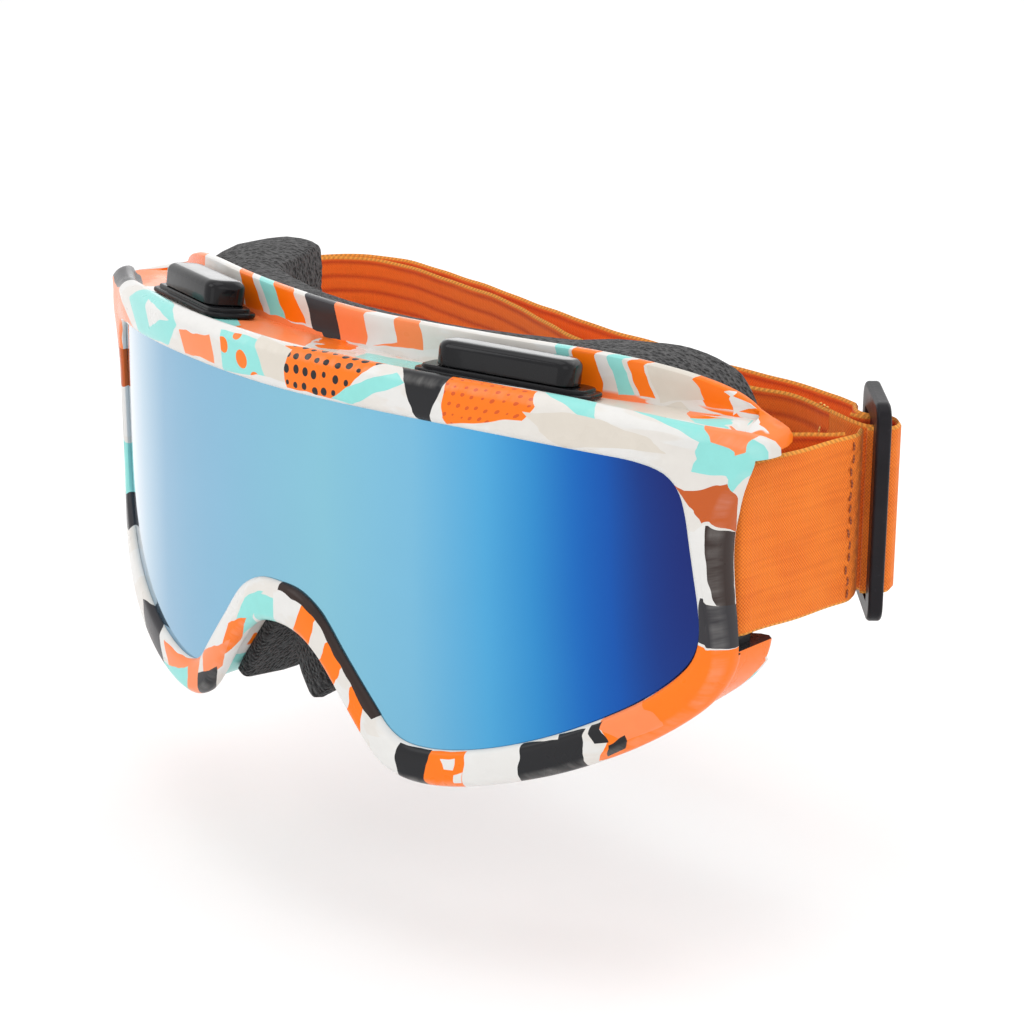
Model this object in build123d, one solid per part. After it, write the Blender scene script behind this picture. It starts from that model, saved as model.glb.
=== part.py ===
from build123d import *
import os
import math

os.makedirs("parts", exist_ok=True)

# ---------------------------------------------------------------- dimensions
# Modelling frame: x across the face, y from the lens to the back of the head,
# z up, with the front of the lens at its middle as zero. Every piece is moved
# at the end so that the face seal's middle is the part's origin.
seal_y = 32.0            # face seal plane at the middle, behind the lens front
lens_r = 133.7           # radius of the cylindrical lens
lens_t = 1.2             # outer lens thickness
gap_t = 1.8              # foam spacer thickness between the lenses
inner_t = 0.7            # inner lens thickness
proud = 1.8              # bezel crest in front of the lens
plate_t = 2.5            # bezel plate behind the lens front
capture = 1.6            # lens edge held under the bezel lip
flange_r = 145.0         # radius of the rear face flange
flange_y = 21.0          # flange front at the middle
flange_t = 2.5           # flange thickness
seal_r = 100.0           # radius of the foam's face side
foam_end_y = 61.0        # deepest point of the foam at the temples
web_w = 35.0             # strap webbing width
web_t = 1.6              # strap webbing thickness
web_z = 2.8              # middle of the strap's height
bar_in, bar_out = 84.1, 86.9        # strap bar, across
bar_y0, bar_y1 = 40.1, 45.6         # strap bar, fore and aft
slot_z0, slot_z1 = -17.0, 22.6      # strap slot, bottom and top
vent_x, vent_y = 45.0, 20.0         # middle of each vent cover
vent_turn = 20.0                    # turn of each vent cover, degrees
terrace_slope = 0.16                # fall of the frame's top towards the rear
terrace_z0 = 33.9                   # height of the top at y = 4
vent_l, vent_w = 37.0, 11.5         # vent flange
cap_l, cap_w, cap_h = 28.5, 9.0, 5.2
adj_l, adj_w, adj_t = 45.5, 23.0, 3.0   # strap adjuster
adj_n = (0.7263, 0.6873)            # adjuster's normal, in plan
adj_near = (96.3, 72.8)             # adjuster's near edge, in plan
adj_z = 3.4

# ---------------------------------------------------------------- outlines
lens_pts = [(0, -15.0), (5.8, -15.5), (11.3, -18.5), (14.5, -22.0), (17.3, -25.7), (20.5, -29.7),
            (25.6, -36.1), (28.6, -39.8), (32.3, -42.0), (38.0, -42.4), (46.2, -41.1), (55.3, -38.3),
            (63.8, -34.6), (71.8, -30.1), (77.3, -26.3), (82.0, -21.8), (84.6, -18.0), (85.6, -14.0),
            (85.5, -8.0), (84.7, -1.0), (83.9, 5.5), (83.1, 12.0), (82.0, 16.6), (79.8, 19.8), (75.3, 21.8),
            (68.8, 22.9), (58.5, 24.2), (47.5, 25.2), (31.2, 26.0), (15.0, 26.2), (0, 26.2)]
bezel_pts = [(0, 35.4), (15, 35.5), (31.4, 35.1), (45, 34.6), (60, 33.6), (70.6, 31.9), (79.5, 30.0),
             (86.5, 28.4), (91.8, 27.2), (95.3, 25.2), (95.9, 22.2), (94.2, 19.4), (91.4, 16.0), (89.6, 11.0),
             (89.0, 5), (89.4, -5), (90.1, -12), (90.4, -17), (89.4, -22), (86.5, -27.5), (81, -33),
             (74, -38), (65, -42.8), (56, -46.3), (47, -49), (38, -50.4), (31.5, -50), (26.5, -47.6),
             (22.5, -43.3), (18, -37.3), (13.7, -31.7), (10.3, -27.4), (6, -24.4), (0, -23.3)]
tube_pts = [(0, 34.2), (15, 34.2), (31.4, 33.9), (45, 33.4), (60, 32.3), (70.6, 30.7), (79.5, 28.9),
            (86.3, 27.2), (91.0, 25.9), (94.0, 24.2), (94.5, 22.0), (93.0, 19.6), (90.4, 16.2), (88.5, 11.0),
            (88.0, 5), (88.4, -5), (89.0, -12), (89.3, -16.5), (88.2, -21), (85, -26.4), (79.5, -31.6),
            (72.5, -36.5), (64, -41), (55.5, -44.3), (46.5, -46.9), (38.3, -48.2), (32.3, -47.8),
            (27.8, -45.5), (24, -41.6), (19.5, -35.6), (14.8, -29.4), (10.8, -25.4), (6, -22.9), (0, -22.0)]
cave_pts = [(0, 28.2), (40, 27.8), (58, 26.4), (70, 23.6), (75.6, 18.5), (77.3, 10), (77.5, 0), (77.4, -10),
            (76.4, -19), (72.5, -26.5), (65, -33), (56, -38), (46, -41.4), (38, -42.0), (32.2, -39.5),
            (27.6, -33.8), (22.8, -26.8), (17.8, -20.4), (11.8, -16.0), (5, -14.2), (0, -13.9)]
flange_pts = [(0, 38.0), (20, 38.2), (40, 38.0), (55, 37.4), (66, 36.1), (75, 33.9), (81, 31.0), (84.3, 27.4),
              (84.9, 24.2), (82.8, 21.4), (79.6, 18.4), (77.8, 13), (77.5, 5), (77.5, -8), (78.2, -14.5),
              (78.6, -20), (76.5, -26.5), (72.5, -32), (66.5, -37), (59, -41.3), (51.5, -44.8), (44, -47.2),
              (37.3, -47.8), (31.5, -46.0), (26.8, -41.5), (22.3, -35), (18, -28.6), (13.5, -23.6),
              (8, -20.6), (0, -19.6)]
spacer_pts = [(0, -7.8), (7.4, -8.6), (15.6, -12.8), (20.3, -17.4), (23.3, -21.4), (26.4, -25.2), (31.3, -31.4),
              (34.4, -34.6), (38.4, -35.5), (45.2, -34.2), (53.6, -31.5), (61.4, -28.1), (69.0, -23.8),
              (73.8, -20.1), (77.0, -15.6), (78.2, -11.0), (78.3, -6.0), (77.7, 0), (76.9, 6.0), (75.6, 11.0),
              (73.0, 14.4), (67.5, 16.0), (57.8, 17.4), (47.2, 18.4), (31.0, 19.1), (15.0, 19.3), (0, 19.3)]
lens_in_pts = [(0, -12.0), (6.6, -12.6), (13.2, -16.0), (17.0, -20.0), (19.8, -23.8), (23.0, -27.7), (28.0, -34.1),
               (30.6, -37.2), (33.8, -39.0), (38.2, -39.4), (45.8, -38.1), (54.6, -35.4), (62.8, -31.8),
               (70.6, -27.3), (75.8, -23.6), (80.0, -19.6), (82.0, -16.0), (82.6, -12.0), (82.4, -6.0),
               (81.7, 0), (80.9, 6.0), (80.0, 12.0), (78.4, 16.0), (74.6, 18.9), (68.3, 19.9), (58.2, 21.2),
               (47.3, 22.2), (31.1, 23.0), (15.0, 23.2), (0, 23.2)]
eye_pts = [(0, 23.6), (20, 24.0), (45, 23.6), (60, 21.8), (68, 18.4), (72.0, 12.5), (73.2, 4), (73.2, -7),
           (71.8, -16), (67.5, -24), (60.5, -30.5), (53, -35), (45, -37.6), (38.5, -37.4), (33, -34),
           (28.4, -27.8), (23.8, -21), (18.6, -15.2), (12, -11.4), (5, -10.0), (0, -9.8)]


def whole(pts):
    """Close a right-half outline with its mirror image."""
    return list(pts) + [(-x, z) for x, z in reversed(pts[1:-1])]


def inset(pts, d):
    """Move a right-half outline inwards (d > 0) or outwards (d < 0)."""
    full = whole(pts)
    n = len(full)
    area = sum(full[i][0] * full[(i + 1) % n][1] - full[(i + 1) % n][0] * full[i][1] for i in range(n))
    sgn = 1.0 if area > 0 else -1.0
    out = []
    for i in range(len(pts)):
        (x0, z0), (x1, z1) = full[i - 1], full[(i + 1) % n]
        tx, tz = x1 - x0, z1 - z0
        ln = math.hypot(tx, tz)
        out.append((pts[i][0] - sgn * tz / ln * d, pts[i][1] + sgn * tx / ln * d))
    out[0] = (0, out[0][1])
    out[-1] = (0, out[-1][1])
    return out


def slab(pts, y0=-15.0, y1=80.0, turn=9.0):
    """Extrude a closed outline in the XZ plane along Y, in short flats."""
    edge = Edge.make_spline([Vector(x, y0, z) for x, z in whole(pts)], periodic=True)
    m = 720
    fine = [edge.position_at(k / m) for k in range(m)]
    picked = [fine[0]]
    last_dir = (fine[1] - fine[0]).normalized()
    for k in range(1, m):
        d = (fine[(k + 1) % m] - fine[k]).normalized()
        far = (fine[k] - picked[-1]).length
        if far > 9.0 or (far > 0.7 and d.get_angle(last_dir) > turn):
            picked.append(fine[k])
            last_dir = d
    if (picked[-1] - picked[0]).length < 0.6:
        picked.pop()
    face = Face(Wire.make_polygon(picked, close=True))
    return Solid.extrude(face, Vector(0, y1 - y0, 0))


def cyl(r, axis_y):
    return Pos(0, axis_y, 0) * Cylinder(r, 160)


def lens_shell(d0, d1):
    """Space between two surfaces parallel to the lens, d behind its front."""
    return cyl(lens_r - d0, lens_r) - cyl(lens_r - d1, lens_r)


def box(x0, x1, y0, y1, z0, z1):
    return Pos((x0 + x1) / 2, (y0 + y1) / 2, (z0 + z1) / 2) * Box(x1 - x0, y1 - y0, z1 - z0)


def both(shape):
    """A shape and its mirror image across the middle plane."""
    return [shape, mirror(shape, about=Plane.YZ)]


half_y = box(-110, 110, -20, 75, -90, 90)       # front part of the cylinders only
nodes = {}


def keep(name, shape):
    s = shape
    if isinstance(s, (list, ShapeList)):
        s = Compound(children=list(s))
    nodes[name] = s


# ---------------------------------------------------------------- vent planes
terrace_n = Vector(0, terrace_slope, 1).normalized()


def vent_plane(side):
    a = math.radians(vent_turn) * side
    z = terrace_z0 - terrace_slope * (vent_y - 4.0) + 0.05
    x_dir = Vector(math.cos(a), math.sin(a), -terrace_slope * math.sin(a)).normalized()
    return Plane(origin=(side * vent_x, vent_y, z), x_dir=x_dir, z_dir=terrace_n)


def pad(l, w, r, h, z0=0.0):
    """Flat block with rounded corners, standing on z0."""
    return Pos(0, 0, z0) * extrude(RectangleRounded(l, w, r), h)


# ---------------------------------------------------------------- frame
front = slab(bezel_pts) & half_y & lens_shell(-proud, plate_t)
# bevel between the bezel's front face and its side
bevel = slab(bezel_pts) - slab(inset(bezel_pts, 2.6))
front = front - (bevel & (cyl(lens_r + proud + 0.2, lens_r) - cyl(lens_r + 0.4, lens_r)))

back_cyl = cyl(flange_r, flange_r + flange_y)
body = (slab(tube_pts) & half_y & cyl(lens_r - plate_t + 0.1, lens_r)) - back_cyl
# the top falls towards the rear
top_cut = Plane(origin=(0, 4.0, terrace_z0), x_dir=(1, 0, 0), z_dir=terrace_n)
body = body - top_cut * (Pos(0, 0, 10) * Box(230, 150, 20))
# the side blocks end ahead of the flange
for s in both(box(87.2, 110, 41.0, 90, 0, 60)) + both(box(87.2, 110, 48.6, 90, -60, 0)):
    body = body - s
# recess for the strap at each side
for s in both(box(79.5, 110, 36.9, 90, slot_z0, slot_z1)):
    body = body - s
for s in both(box(84.6, 110, 20, 90, slot_z0, slot_z1)):
    body = body - (s & cyl(lens_r - plate_t, lens_r))
flange = slab(flange_pts) & half_y & (back_cyl - cyl(flange_r - flange_t, flange_r + flange_y))
frame = front + body + flange
# lens opening, lens seat, seat of the inner lens, cavity and eye opening
frame = frame - (slab(lens_pts) & (cyl(lens_r + 6, lens_r) - cyl(lens_r - 0.6, lens_r)))
frame = frame - (slab(inset(lens_pts, -capture - 0.1)) & lens_shell(-0.06, lens_t + 0.06))
frame = frame - (slab(inset(lens_in_pts, -0.1)) & lens_shell(0.5, lens_t + gap_t + inner_t + 0.25))
frame = frame - ((slab(cave_pts) & cyl(lens_r - lens_t - gap_t, lens_r)) - back_cyl)
frame = frame - (slab(eye_pts) & cyl(lens_r - lens_t - gap_t, lens_r) & half_y)
# strap bars
bar = box(bar_in, bar_out, bar_y0, bar_y1, slot_z0 - 1.5, slot_z1 + 1.5)
bar = fillet(bar.edges().filter_by(Axis.Z), 1.3)
for s in both(bar):
    frame = frame + s
# vent windows in the top
for side in (-1, 1):
    frame = frame - vent_plane(side) * (Pos(0, 0, -6) * extrude(SlotOverall(26.0, 6.0), 8))
keep("frame", frame)

# ---------------------------------------------------------------- lenses
keep("lens_outer", slab(inset(lens_pts, -capture)) & half_y & lens_shell(0, lens_t))
spacer = slab(lens_in_pts) - slab(spacer_pts)
keep("lens_spacer", spacer & half_y & lens_shell(lens_t + 0.05, lens_t + gap_t))
keep("lens_inner", slab(lens_in_pts) & half_y & lens_shell(lens_t + gap_t + 0.05, lens_t + gap_t + inner_t))

# ---------------------------------------------------------------- vents
for side, word in ((-1, "left"), (1, "right")):
    p = vent_plane(side)
    base = pad(vent_l, vent_w, 3.4, 1.1) + pad(vent_l - 2.6, vent_w - 2.0, 2.6, 0.8, 1.1)
    base = base - pad(23.0, 4.8, 1.2, 4, -1)
    keep("vent_base_" + word, p * base)
    cap = pad(cap_l, cap_w, 3.0, cap_h, 1.95)
    cap = fillet(cap.edges().filter_by(lambda e: e.center().Z > 1.95 + cap_h - 0.01), 1.7)
    tongue = pad(22.6, 4.4, 1.0, 1.0, 1.1)
    keep("vent_cap_" + word, p * (cap + tongue))
    keep("vent_foam_" + word, p * pad(25.6, 5.6, 2.4, 1.6, -1.9))

# ---------------------------------------------------------------- foams
rear_r = flange_r - flange_t - 0.15
face_cyl = cyl(seal_r, seal_r + seal_y)
ring = slab(inset(flange_pts, 1.6)) - slab(eye_pts)
foam = ring & box(-76.4, 76.4, -5, foam_end_y, -90, 90) & cyl(rear_r, flange_r + flange_y)
foam = foam - face_cyl
keep("face_foam", foam)
# flap that closes the nose: a bent pad hanging in the nose arch
nose = (box(-11.5, 11.5, 25.5, 40, -40, -21.6) & cyl(rear_r - 0.1, flange_r + flange_y)) - cyl(60, 32.2 + 60)
nose = nose & (Pos(0, 30, -14) * (Rot(0, 45, 0) * Box(37, 60, 37)))
keep("nose_foam", nose)


# ---------------------------------------------------------------- webbing
def curve(pts, step=1.2):
    """Dense points on a centripetal Catmull-Rom curve through pts."""
    p = [Vector(*a, 0) for a in pts]
    p = [p[0] * 2 - p[1]] + p + [p[-1] * 2 - p[-2]]
    out = []
    for i in range(1, len(p) - 2):
        p0, p1, p2, p3 = p[i - 1:i + 3]
        t1 = (p1 - p0).length ** 0.5
        t2 = t1 + (p2 - p1).length ** 0.5
        t3 = t2 + (p3 - p2).length ** 0.5
        m = max(2, int((p2 - p1).length / step))
        for k in range(m):
            t = t1 + (t2 - t1) * k / m
            a1 = p0 * ((t1 - t) / t1) + p1 * (t / t1)
            a2 = p1 * ((t2 - t) / (t2 - t1)) + p2 * ((t - t1) / (t2 - t1))
            a3 = p2 * ((t3 - t) / (t3 - t2)) + p3 * ((t - t2) / (t3 - t2))
            b1 = a1 * ((t2 - t) / t2) + a2 * (t / t2)
            b2 = a2 * ((t3 - t) / (t3 - t1)) + a3 * ((t - t1) / (t3 - t1))
            out.append(b1 * ((t2 - t) / (t2 - t1)) + b2 * ((t - t1) / (t2 - t1)))
    out.append(p[-2])
    return out


def web(pts, t=web_t, w=web_w, z=web_z, step=1.2):
    """Flat webbing standing on edge along a plan path."""
    c = curve(pts, step)
    n = len(c)
    left, right = [], []
    for i in range(n):
        d = (c[min(i + 1, n - 1)] - c[max(i - 1, 0)]).normalized()
        s = Vector(-d.Y, d.X, 0) * (t / 2)
        left.append(c[i] + s)
        right.append(c[i] - s)
    z0 = Vector(0, 0, z - w / 2)
    loop = [v + z0 for v in left] + [v + z0 for v in reversed(right)]
    face = Face(Wire.make_polygon(loop, close=True))
    solid = Solid.extrude(face, Vector(0, 0, w))
    return solid if solid.volume > 0 else Solid.extrude(face, Vector(0, 0, w)).fix()


def adj(s, n):
    """Plan point at s along the adjuster's width and n along its normal."""
    return (adj_near[0] - adj_n[1] * s + adj_n[0] * n, adj_near[1] + adj_n[0] * s + adj_n[1] * n)


leg_out = bar_out + 0.3 + web_t / 2       # outer leg beside the bar
leg_in = bar_in - 0.3 - web_t / 2         # inner leg beside the bar
fold_y = bar_y0 - 0.3 - web_t / 2         # front of the fold
fold = [(leg_out + 0.15, 44.0), (leg_out, 41.2), (leg_out - 0.7, fold_y + 0.5), ((leg_in + leg_out) / 2, fold_y - 0.1),
        (leg_in + 0.7, fold_y + 0.5), (leg_in, 41.2), (leg_in - 0.15, 45.0)]
front_leg = [(leg_out + 0.17, 44.3), (89.4, 55.0), (90.5, 65.0), (91.0, 71.0), adj(6.7, -3.7)]
keep("strap_front", web(front_leg))
keep("strap_fold_right", web(fold + [(80.2, 51.0), (78.5, 56.5), (79.8, 60.2), (83.6, 64.0), (87.3, 67.4), (88.8, 70.0)]))
turn = [adj(6.7, -2.5), adj(6.7, 0.5), adj(7.4, 2.8), adj(9.4, 4.0), adj(11.5, 4.3), adj(13.6, 4.0), adj(15.6, 2.8),
        adj(16.3, 0.5), adj(16.6, -1.4), adj(18.2, -2.75), adj(20.8, -3.1), adj(24.0, -2.9)]
keep("strap_turn", web(turn, step=0.8))
outer = [(77.0, 88.5), (66.0, 91.8), (52.0, 92.8), (35.0, 93.4), (10.0, 96.6), (-27.0, 104.0), (-50.0, 108.6),
         (-65.0, 111.6), (-78.0, 113.0), (-89.0, 111.0), (-96.0, 104.6), (-97.6, 95.0), (-95.8, 80.0), (-92.6, 62.0),
         (-90.0, 50.0), (-leg_out - 0.2, 44.3)]
keep("strap_outer", web(outer))
inner = [(75.4, 81.6), (70.8, 83.6), (63.5, 84.6), (53.5, 82.8), (28.0, 83.6), (2.5, 87.3), (-9.0, 91.6),
         (-22.0, 96.9), (-34.5, 101.0), (-49.0, 104.6), (-64.0, 107.8), (-77.0, 109.4), (-87.2, 107.6),
         (-93.0, 102.2), (-94.6, 94.0), (-92.6, 80.0), (-88.8, 62.0), (-84.6, 50.0), (-leg_in - 0.1, 45.4)]
keep("strap_inner", web(inner))
keep("strap_fold_left", mirror(web(fold), about=Plane.YZ))
crease = (76.9, 81.0)
loop_pts = [crease, (80.4, 79.6), (85.4, 77.7), adj(8.25, -2.0), adj(8.2, 0.0), adj(8.9, 1.65), adj(11.5, 2.1),
            adj(14.1, 1.65), adj(14.8, 0.0), adj(15.0, -2.2), (81.4, 81.9)]
keep("strap_end_loop", web(loop_pts, t=1.2, step=0.7))

# thread rows: short stitches lying on the webbing
row = []
lx, ly = (front_leg[3][0] - front_leg[2][0]), (front_leg[3][1] - front_leg[2][1])
ln = math.hypot(lx, ly)
px, py = ly / ln, -lx / ln
for k in range(9):
    zc = web_z - web_w / 2 + 2.5 + k * 3.75
    row.append(Pos(90.85 + px * (web_t / 2 + 0.42), 69.0 + py * (web_t / 2 + 0.42), zc) * Box(0.3, 0.8, 2.6))
keep("stitch_right", row)
row = []
for k in range(4):
    row.append(Pos(73.4 + 1.1 * (k % 2), 81.15 - 0.45 * (k % 2), web_z - 12 + k * 8) * Box(0.8, 0.3, 3.0))
keep("stitch_loop", row)

# ---------------------------------------------------------------- adjuster
o = adj(adj_w / 2, 0)
adj_plane = Plane(origin=(o[0], o[1], adj_z), x_dir=(-adj_n[1], adj_n[0], 0), z_dir=(adj_n[0], adj_n[1], 0))
plate = Pos(0, 0, -adj_t / 2) * extrude(RectangleRounded(adj_w, adj_l, 4.0), adj_t)
plate = fillet(plate.edges().filter_by(lambda e: abs(abs(e.center().Z) - adj_t / 2) < 0.01), 0.8)
slot_l = web_w + 2.0
for s0, s1 in ((4.6, 9.3), (13.7, 18.4)):
    plate = plate - Pos((s0 + s1) / 2 - adj_w / 2, web_z - adj_z, 0) * Box(s1 - s0, slot_l, 10)
# the middle bar is thinner than the rim
for zz in (1.0, -1.0):
    plate = plate - Pos(0, web_z - adj_z, zz * (1.0 + 2.5)) * Box(4.8, slot_l, 5.0)
keep("slider", adj_plane * plate)

# ---------------------------------------------------------------- write
for name, shape in nodes.items():
    solids = shape.solids()
    placed = [Pos(0, -seal_y, 0) * s for s in solids]
    export_step(placed[0] if len(placed) == 1 else Compound(children=placed), f"parts/{name}.step")
    print(name, len(solids), round(sum(s.volume for s in solids), 1))
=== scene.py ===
import math
import bpy
import bmesh
import numpy as np
from mathutils import Vector, Matrix


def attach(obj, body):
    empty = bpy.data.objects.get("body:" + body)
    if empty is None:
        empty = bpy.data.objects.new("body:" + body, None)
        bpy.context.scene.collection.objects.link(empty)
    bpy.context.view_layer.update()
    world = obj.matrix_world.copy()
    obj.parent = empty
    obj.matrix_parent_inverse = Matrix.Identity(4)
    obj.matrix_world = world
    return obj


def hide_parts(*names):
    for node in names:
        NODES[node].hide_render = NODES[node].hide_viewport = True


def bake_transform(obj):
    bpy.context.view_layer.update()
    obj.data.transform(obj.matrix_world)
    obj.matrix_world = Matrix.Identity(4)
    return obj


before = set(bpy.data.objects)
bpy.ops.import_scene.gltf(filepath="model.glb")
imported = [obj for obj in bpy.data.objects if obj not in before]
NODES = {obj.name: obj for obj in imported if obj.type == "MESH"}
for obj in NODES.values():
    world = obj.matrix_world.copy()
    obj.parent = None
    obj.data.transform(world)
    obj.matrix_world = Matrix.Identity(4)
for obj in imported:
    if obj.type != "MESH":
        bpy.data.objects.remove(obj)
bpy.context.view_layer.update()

# Everything below is drawn in millimetres, with the lens front's middle as zero: x across, y back, z up.
# place() turns that into metres in the row frame.
Y0 = 32.0


def place(p):
    p = np.asarray(p, float).reshape(-1, 3)
    return (p - np.array([0.0, Y0, 0.0])) * 0.001


# ------------------------------------------------------------------ camera
AZ, EL, ROLL = math.radians(43.4187), math.radians(18.4788), math.radians(-0.278)
right = Vector((math.cos(AZ), math.sin(AZ), 0))
back = Vector((math.sin(AZ) * math.cos(EL), -math.cos(AZ) * math.cos(EL), math.sin(EL)))
up = back.cross(right)
cr, sr = math.cos(ROLL), math.sin(ROLL)
cx = right * cr - up * sr
cy = right * sr + up * cr
cam_data = bpy.data.cameras.new("camera")
cam_data.sensor_width = 36.0
cam_data.lens = 2721.1 / 1024 * 36.0
cam_data.clip_start = 0.01
cam_data.clip_end = 20
cam = bpy.data.objects.new("camera", cam_data)
bpy.context.scene.collection.objects.link(cam)
loc = right * 47.413 + back * 550.0
m = Matrix.Identity(4)
for i in range(3):
    m[i][0], m[i][1], m[i][2] = cx[i], cy[i], back[i]
m[0][3], m[1][3], m[2][3] = loc.x * 0.001, (loc.y - Y0) * 0.001, loc.z * 0.001
cam.matrix_world = m
bpy.context.scene.camera = cam


# ------------------------------------------------------------------ light and floor
def area(name, at, to, size, power, colour=(1, 1, 1), size_y=None):
    d = bpy.data.lights.new(name, "AREA")
    d.energy = power
    d.color = colour
    d.shape = "RECTANGLE"
    d.size = size
    d.size_y = size_y or size
    o = bpy.data.objects.new(name, d)
    o.location = at
    o.rotation_euler = (Vector(to) - Vector(at)).to_track_quat("-Z", "Y").to_euler()
    bpy.context.scene.collection.objects.link(o)
    return o


area("key", (-0.35, -0.75, 0.85), (0, 0, 0), 0.6, 1.9)
area("fill", (1.0, -0.25, 0.55), (0, 0, 0), 0.7, 0.9)
area("front", (0.15, -1.1, 0.15), (0, 0, 0), 0.5, 0.4)
area("rim", (0.1, 0.9, 0.7), (0, 0, 0), 0.7, 1.4)
area("above", (0.0, 0.0, 1.1), (0, 0, 0), 0.8, 1.8)
area("glancing", (-0.75, 0.85, 0.16), (0, 0, 0.03), 0.5, 0.42, size_y=0.28)
world = bpy.data.worlds.new("world")
world.use_nodes = True
world.node_tree.nodes["Background"].inputs[0].default_value = (1, 1, 1, 1)
world.node_tree.nodes["Background"].inputs[1].default_value = 1.02
bpy.context.scene.world = world
bpy.context.scene.view_settings.view_transform = "Standard"


# ------------------------------------------------------------------ node helpers
class Mat:
    """A node material with short calls for the nodes it needs."""

    def __init__(self, name):
        self.m = bpy.data.materials.new(name)
        self.m.use_nodes = True
        self.t = self.m.node_tree
        self.t.nodes.clear()
        self.out = self.t.nodes.new("ShaderNodeOutputMaterial")
        self.b = self.t.nodes.new("ShaderNodeBsdfPrincipled")
        self.t.links.new(self.b.outputs[0], self.out.inputs[0])

    def put(self, sock, v):
        if v is None:
            return
        if isinstance(v, bpy.types.NodeSocket):
            self.t.links.new(v, sock)
        elif isinstance(v, (tuple, list)):
            sock.default_value = tuple(v) + ((1,) if len(v) == 3 and len(sock.default_value) == 4 else ())
        else:
            sock.default_value = v

    def set(self, **k):
        for n, v in k.items():
            self.put(self.b.inputs[n.replace("_", " ")], v)
        return self

    def node(self, kind, **props):
        n = self.t.nodes.new(kind)
        for a, v in props.items():
            setattr(n, a, v)
        return n

    def math(self, op, a, b=None, c=None, clamp=False):
        n = self.node("ShaderNodeMath", operation=op, use_clamp=clamp)
        self.put(n.inputs[0], a)
        self.put(n.inputs[1], b)
        self.put(n.inputs[2], c)
        return n.outputs[0]

    def dot(self, v, w):
        n = self.node("ShaderNodeVectorMath", operation="DOT_PRODUCT")
        self.put(n.inputs[0], v)
        n.inputs[1].default_value = w
        return n.outputs["Value"]

    def scale(self, v, w):
        n = self.node("ShaderNodeVectorMath", operation="MULTIPLY")
        self.put(n.inputs[0], v)
        n.inputs[1].default_value = w
        return n.outputs[0]

    def vadd(self, v, w):
        n = self.node("ShaderNodeVectorMath", operation="ADD")
        self.put(n.inputs[0], v)
        self.put(n.inputs[1], w)
        return n.outputs[0]

    def mix(self, f, a, b, blend="MIX"):
        n = self.node("ShaderNodeMix", data_type="RGBA", blend_type=blend)
        self.put(n.inputs[0], f)
        self.put(n.inputs[6], a)
        self.put(n.inputs[7], b)
        return n.outputs[2]

    def ramp(self, f, stops, interp="LINEAR"):
        n = self.node("ShaderNodeValToRGB")
        cr_ = n.color_ramp
        cr_.interpolation = interp
        while len(cr_.elements) < len(stops):
            cr_.elements.new(0.5)
        for e, (p, c) in zip(cr_.elements, stops):
            e.position = p
            e.color = tuple(c) + ((1,) if len(c) == 3 else ())
        self.put(n.inputs[0], f)
        return n.outputs[0]

    def span(self, v, a, b, c=0.0, d=1.0):
        n = self.node("ShaderNodeMapRange", clamp=True)
        self.put(n.inputs[0], v)
        for i, x in enumerate((a, b, c, d)):
            n.inputs[i + 1].default_value = x
        return n.outputs[0]

    def noise(self, v, scale, detail=3.0, rough=0.5, out=0):
        n = self.node("ShaderNodeTexNoise")
        self.put(n.inputs["Vector"], v)
        n.inputs["Scale"].default_value = scale
        n.inputs["Detail"].default_value = detail
        n.inputs["Roughness"].default_value = rough
        return n.outputs[out]

    def cells(self, v, scale, out="Distance", feature="F1", rand=1.0):
        n = self.node("ShaderNodeTexVoronoi", feature=feature)
        self.put(n.inputs["Vector"], v)
        n.inputs["Scale"].default_value = scale
        n.inputs["Randomness"].default_value = rand
        return n.outputs[out]

    def bump(self, h, strength, dist, normal=None):
        n = self.node("ShaderNodeBump")
        n.inputs["Strength"].default_value = strength
        n.inputs["Distance"].default_value = dist
        self.put(n.inputs["Height"], h)
        self.put(n.inputs["Normal"], normal)
        return n.outputs[0]

    def uv(self):
        return self.node("ShaderNodeUVMap", uv_map="UVMap").outputs[0]

    def obj(self):
        return self.node("ShaderNodeTexCoord").outputs["Object"]

    def xyz(self, v):
        n = self.node("ShaderNodeSeparateXYZ")
        self.put(n.inputs[0], v)
        return n.outputs[0], n.outputs[1], n.outputs[2]

    def facing(self, blend=0.5):
        n = self.node("ShaderNodeLayerWeight")
        n.inputs[0].default_value = blend
        return n.outputs["Facing"]


# ------------------------------------------------------------------ mesh helpers
def mesh_piece(name, verts, faces, uvs=None, mats=(), smooth=True, sharp=None, face_mat=None):
    """A new object from drawing millimetres. uvs is one (u, v) per face corner."""
    me = bpy.data.meshes.new(name)
    me.from_pydata([tuple(p) for p in place(verts)], [], [tuple(int(i) for i in f) for f in faces])
    if uvs is not None:
        lay = me.uv_layers.new(name="UVMap")
        lay.data.foreach_set("uv", np.asarray(uvs, np.float32).ravel())
    for mt in mats:
        me.materials.append(mt)
    if face_mat is not None:
        me.polygons.foreach_set("material_index", np.asarray(face_mat, np.int32))
    me.polygons.foreach_set("use_smooth", np.full(len(me.polygons), smooth))
    me.validate()
    me.update()
    o = bpy.data.objects.new(name, me)
    bpy.context.scene.collection.objects.link(o)
    if sharp:
        edges_sharp(o, sharp)
    return o


def edges_sharp(o, degrees):
    bm = bmesh.new()
    bm.from_mesh(o.data)
    lim = math.radians(degrees)
    for e in bm.edges:
        e.smooth = not (len(e.link_faces) != 2 or e.calc_face_angle(0) > lim)
    bm.to_mesh(o.data)
    bm.free()


def outward(o):
    bm = bmesh.new()
    bm.from_mesh(o.data)
    bmesh.ops.recalc_face_normals(bm, faces=bm.faces)
    bm.to_mesh(o.data)
    bm.free()


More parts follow.
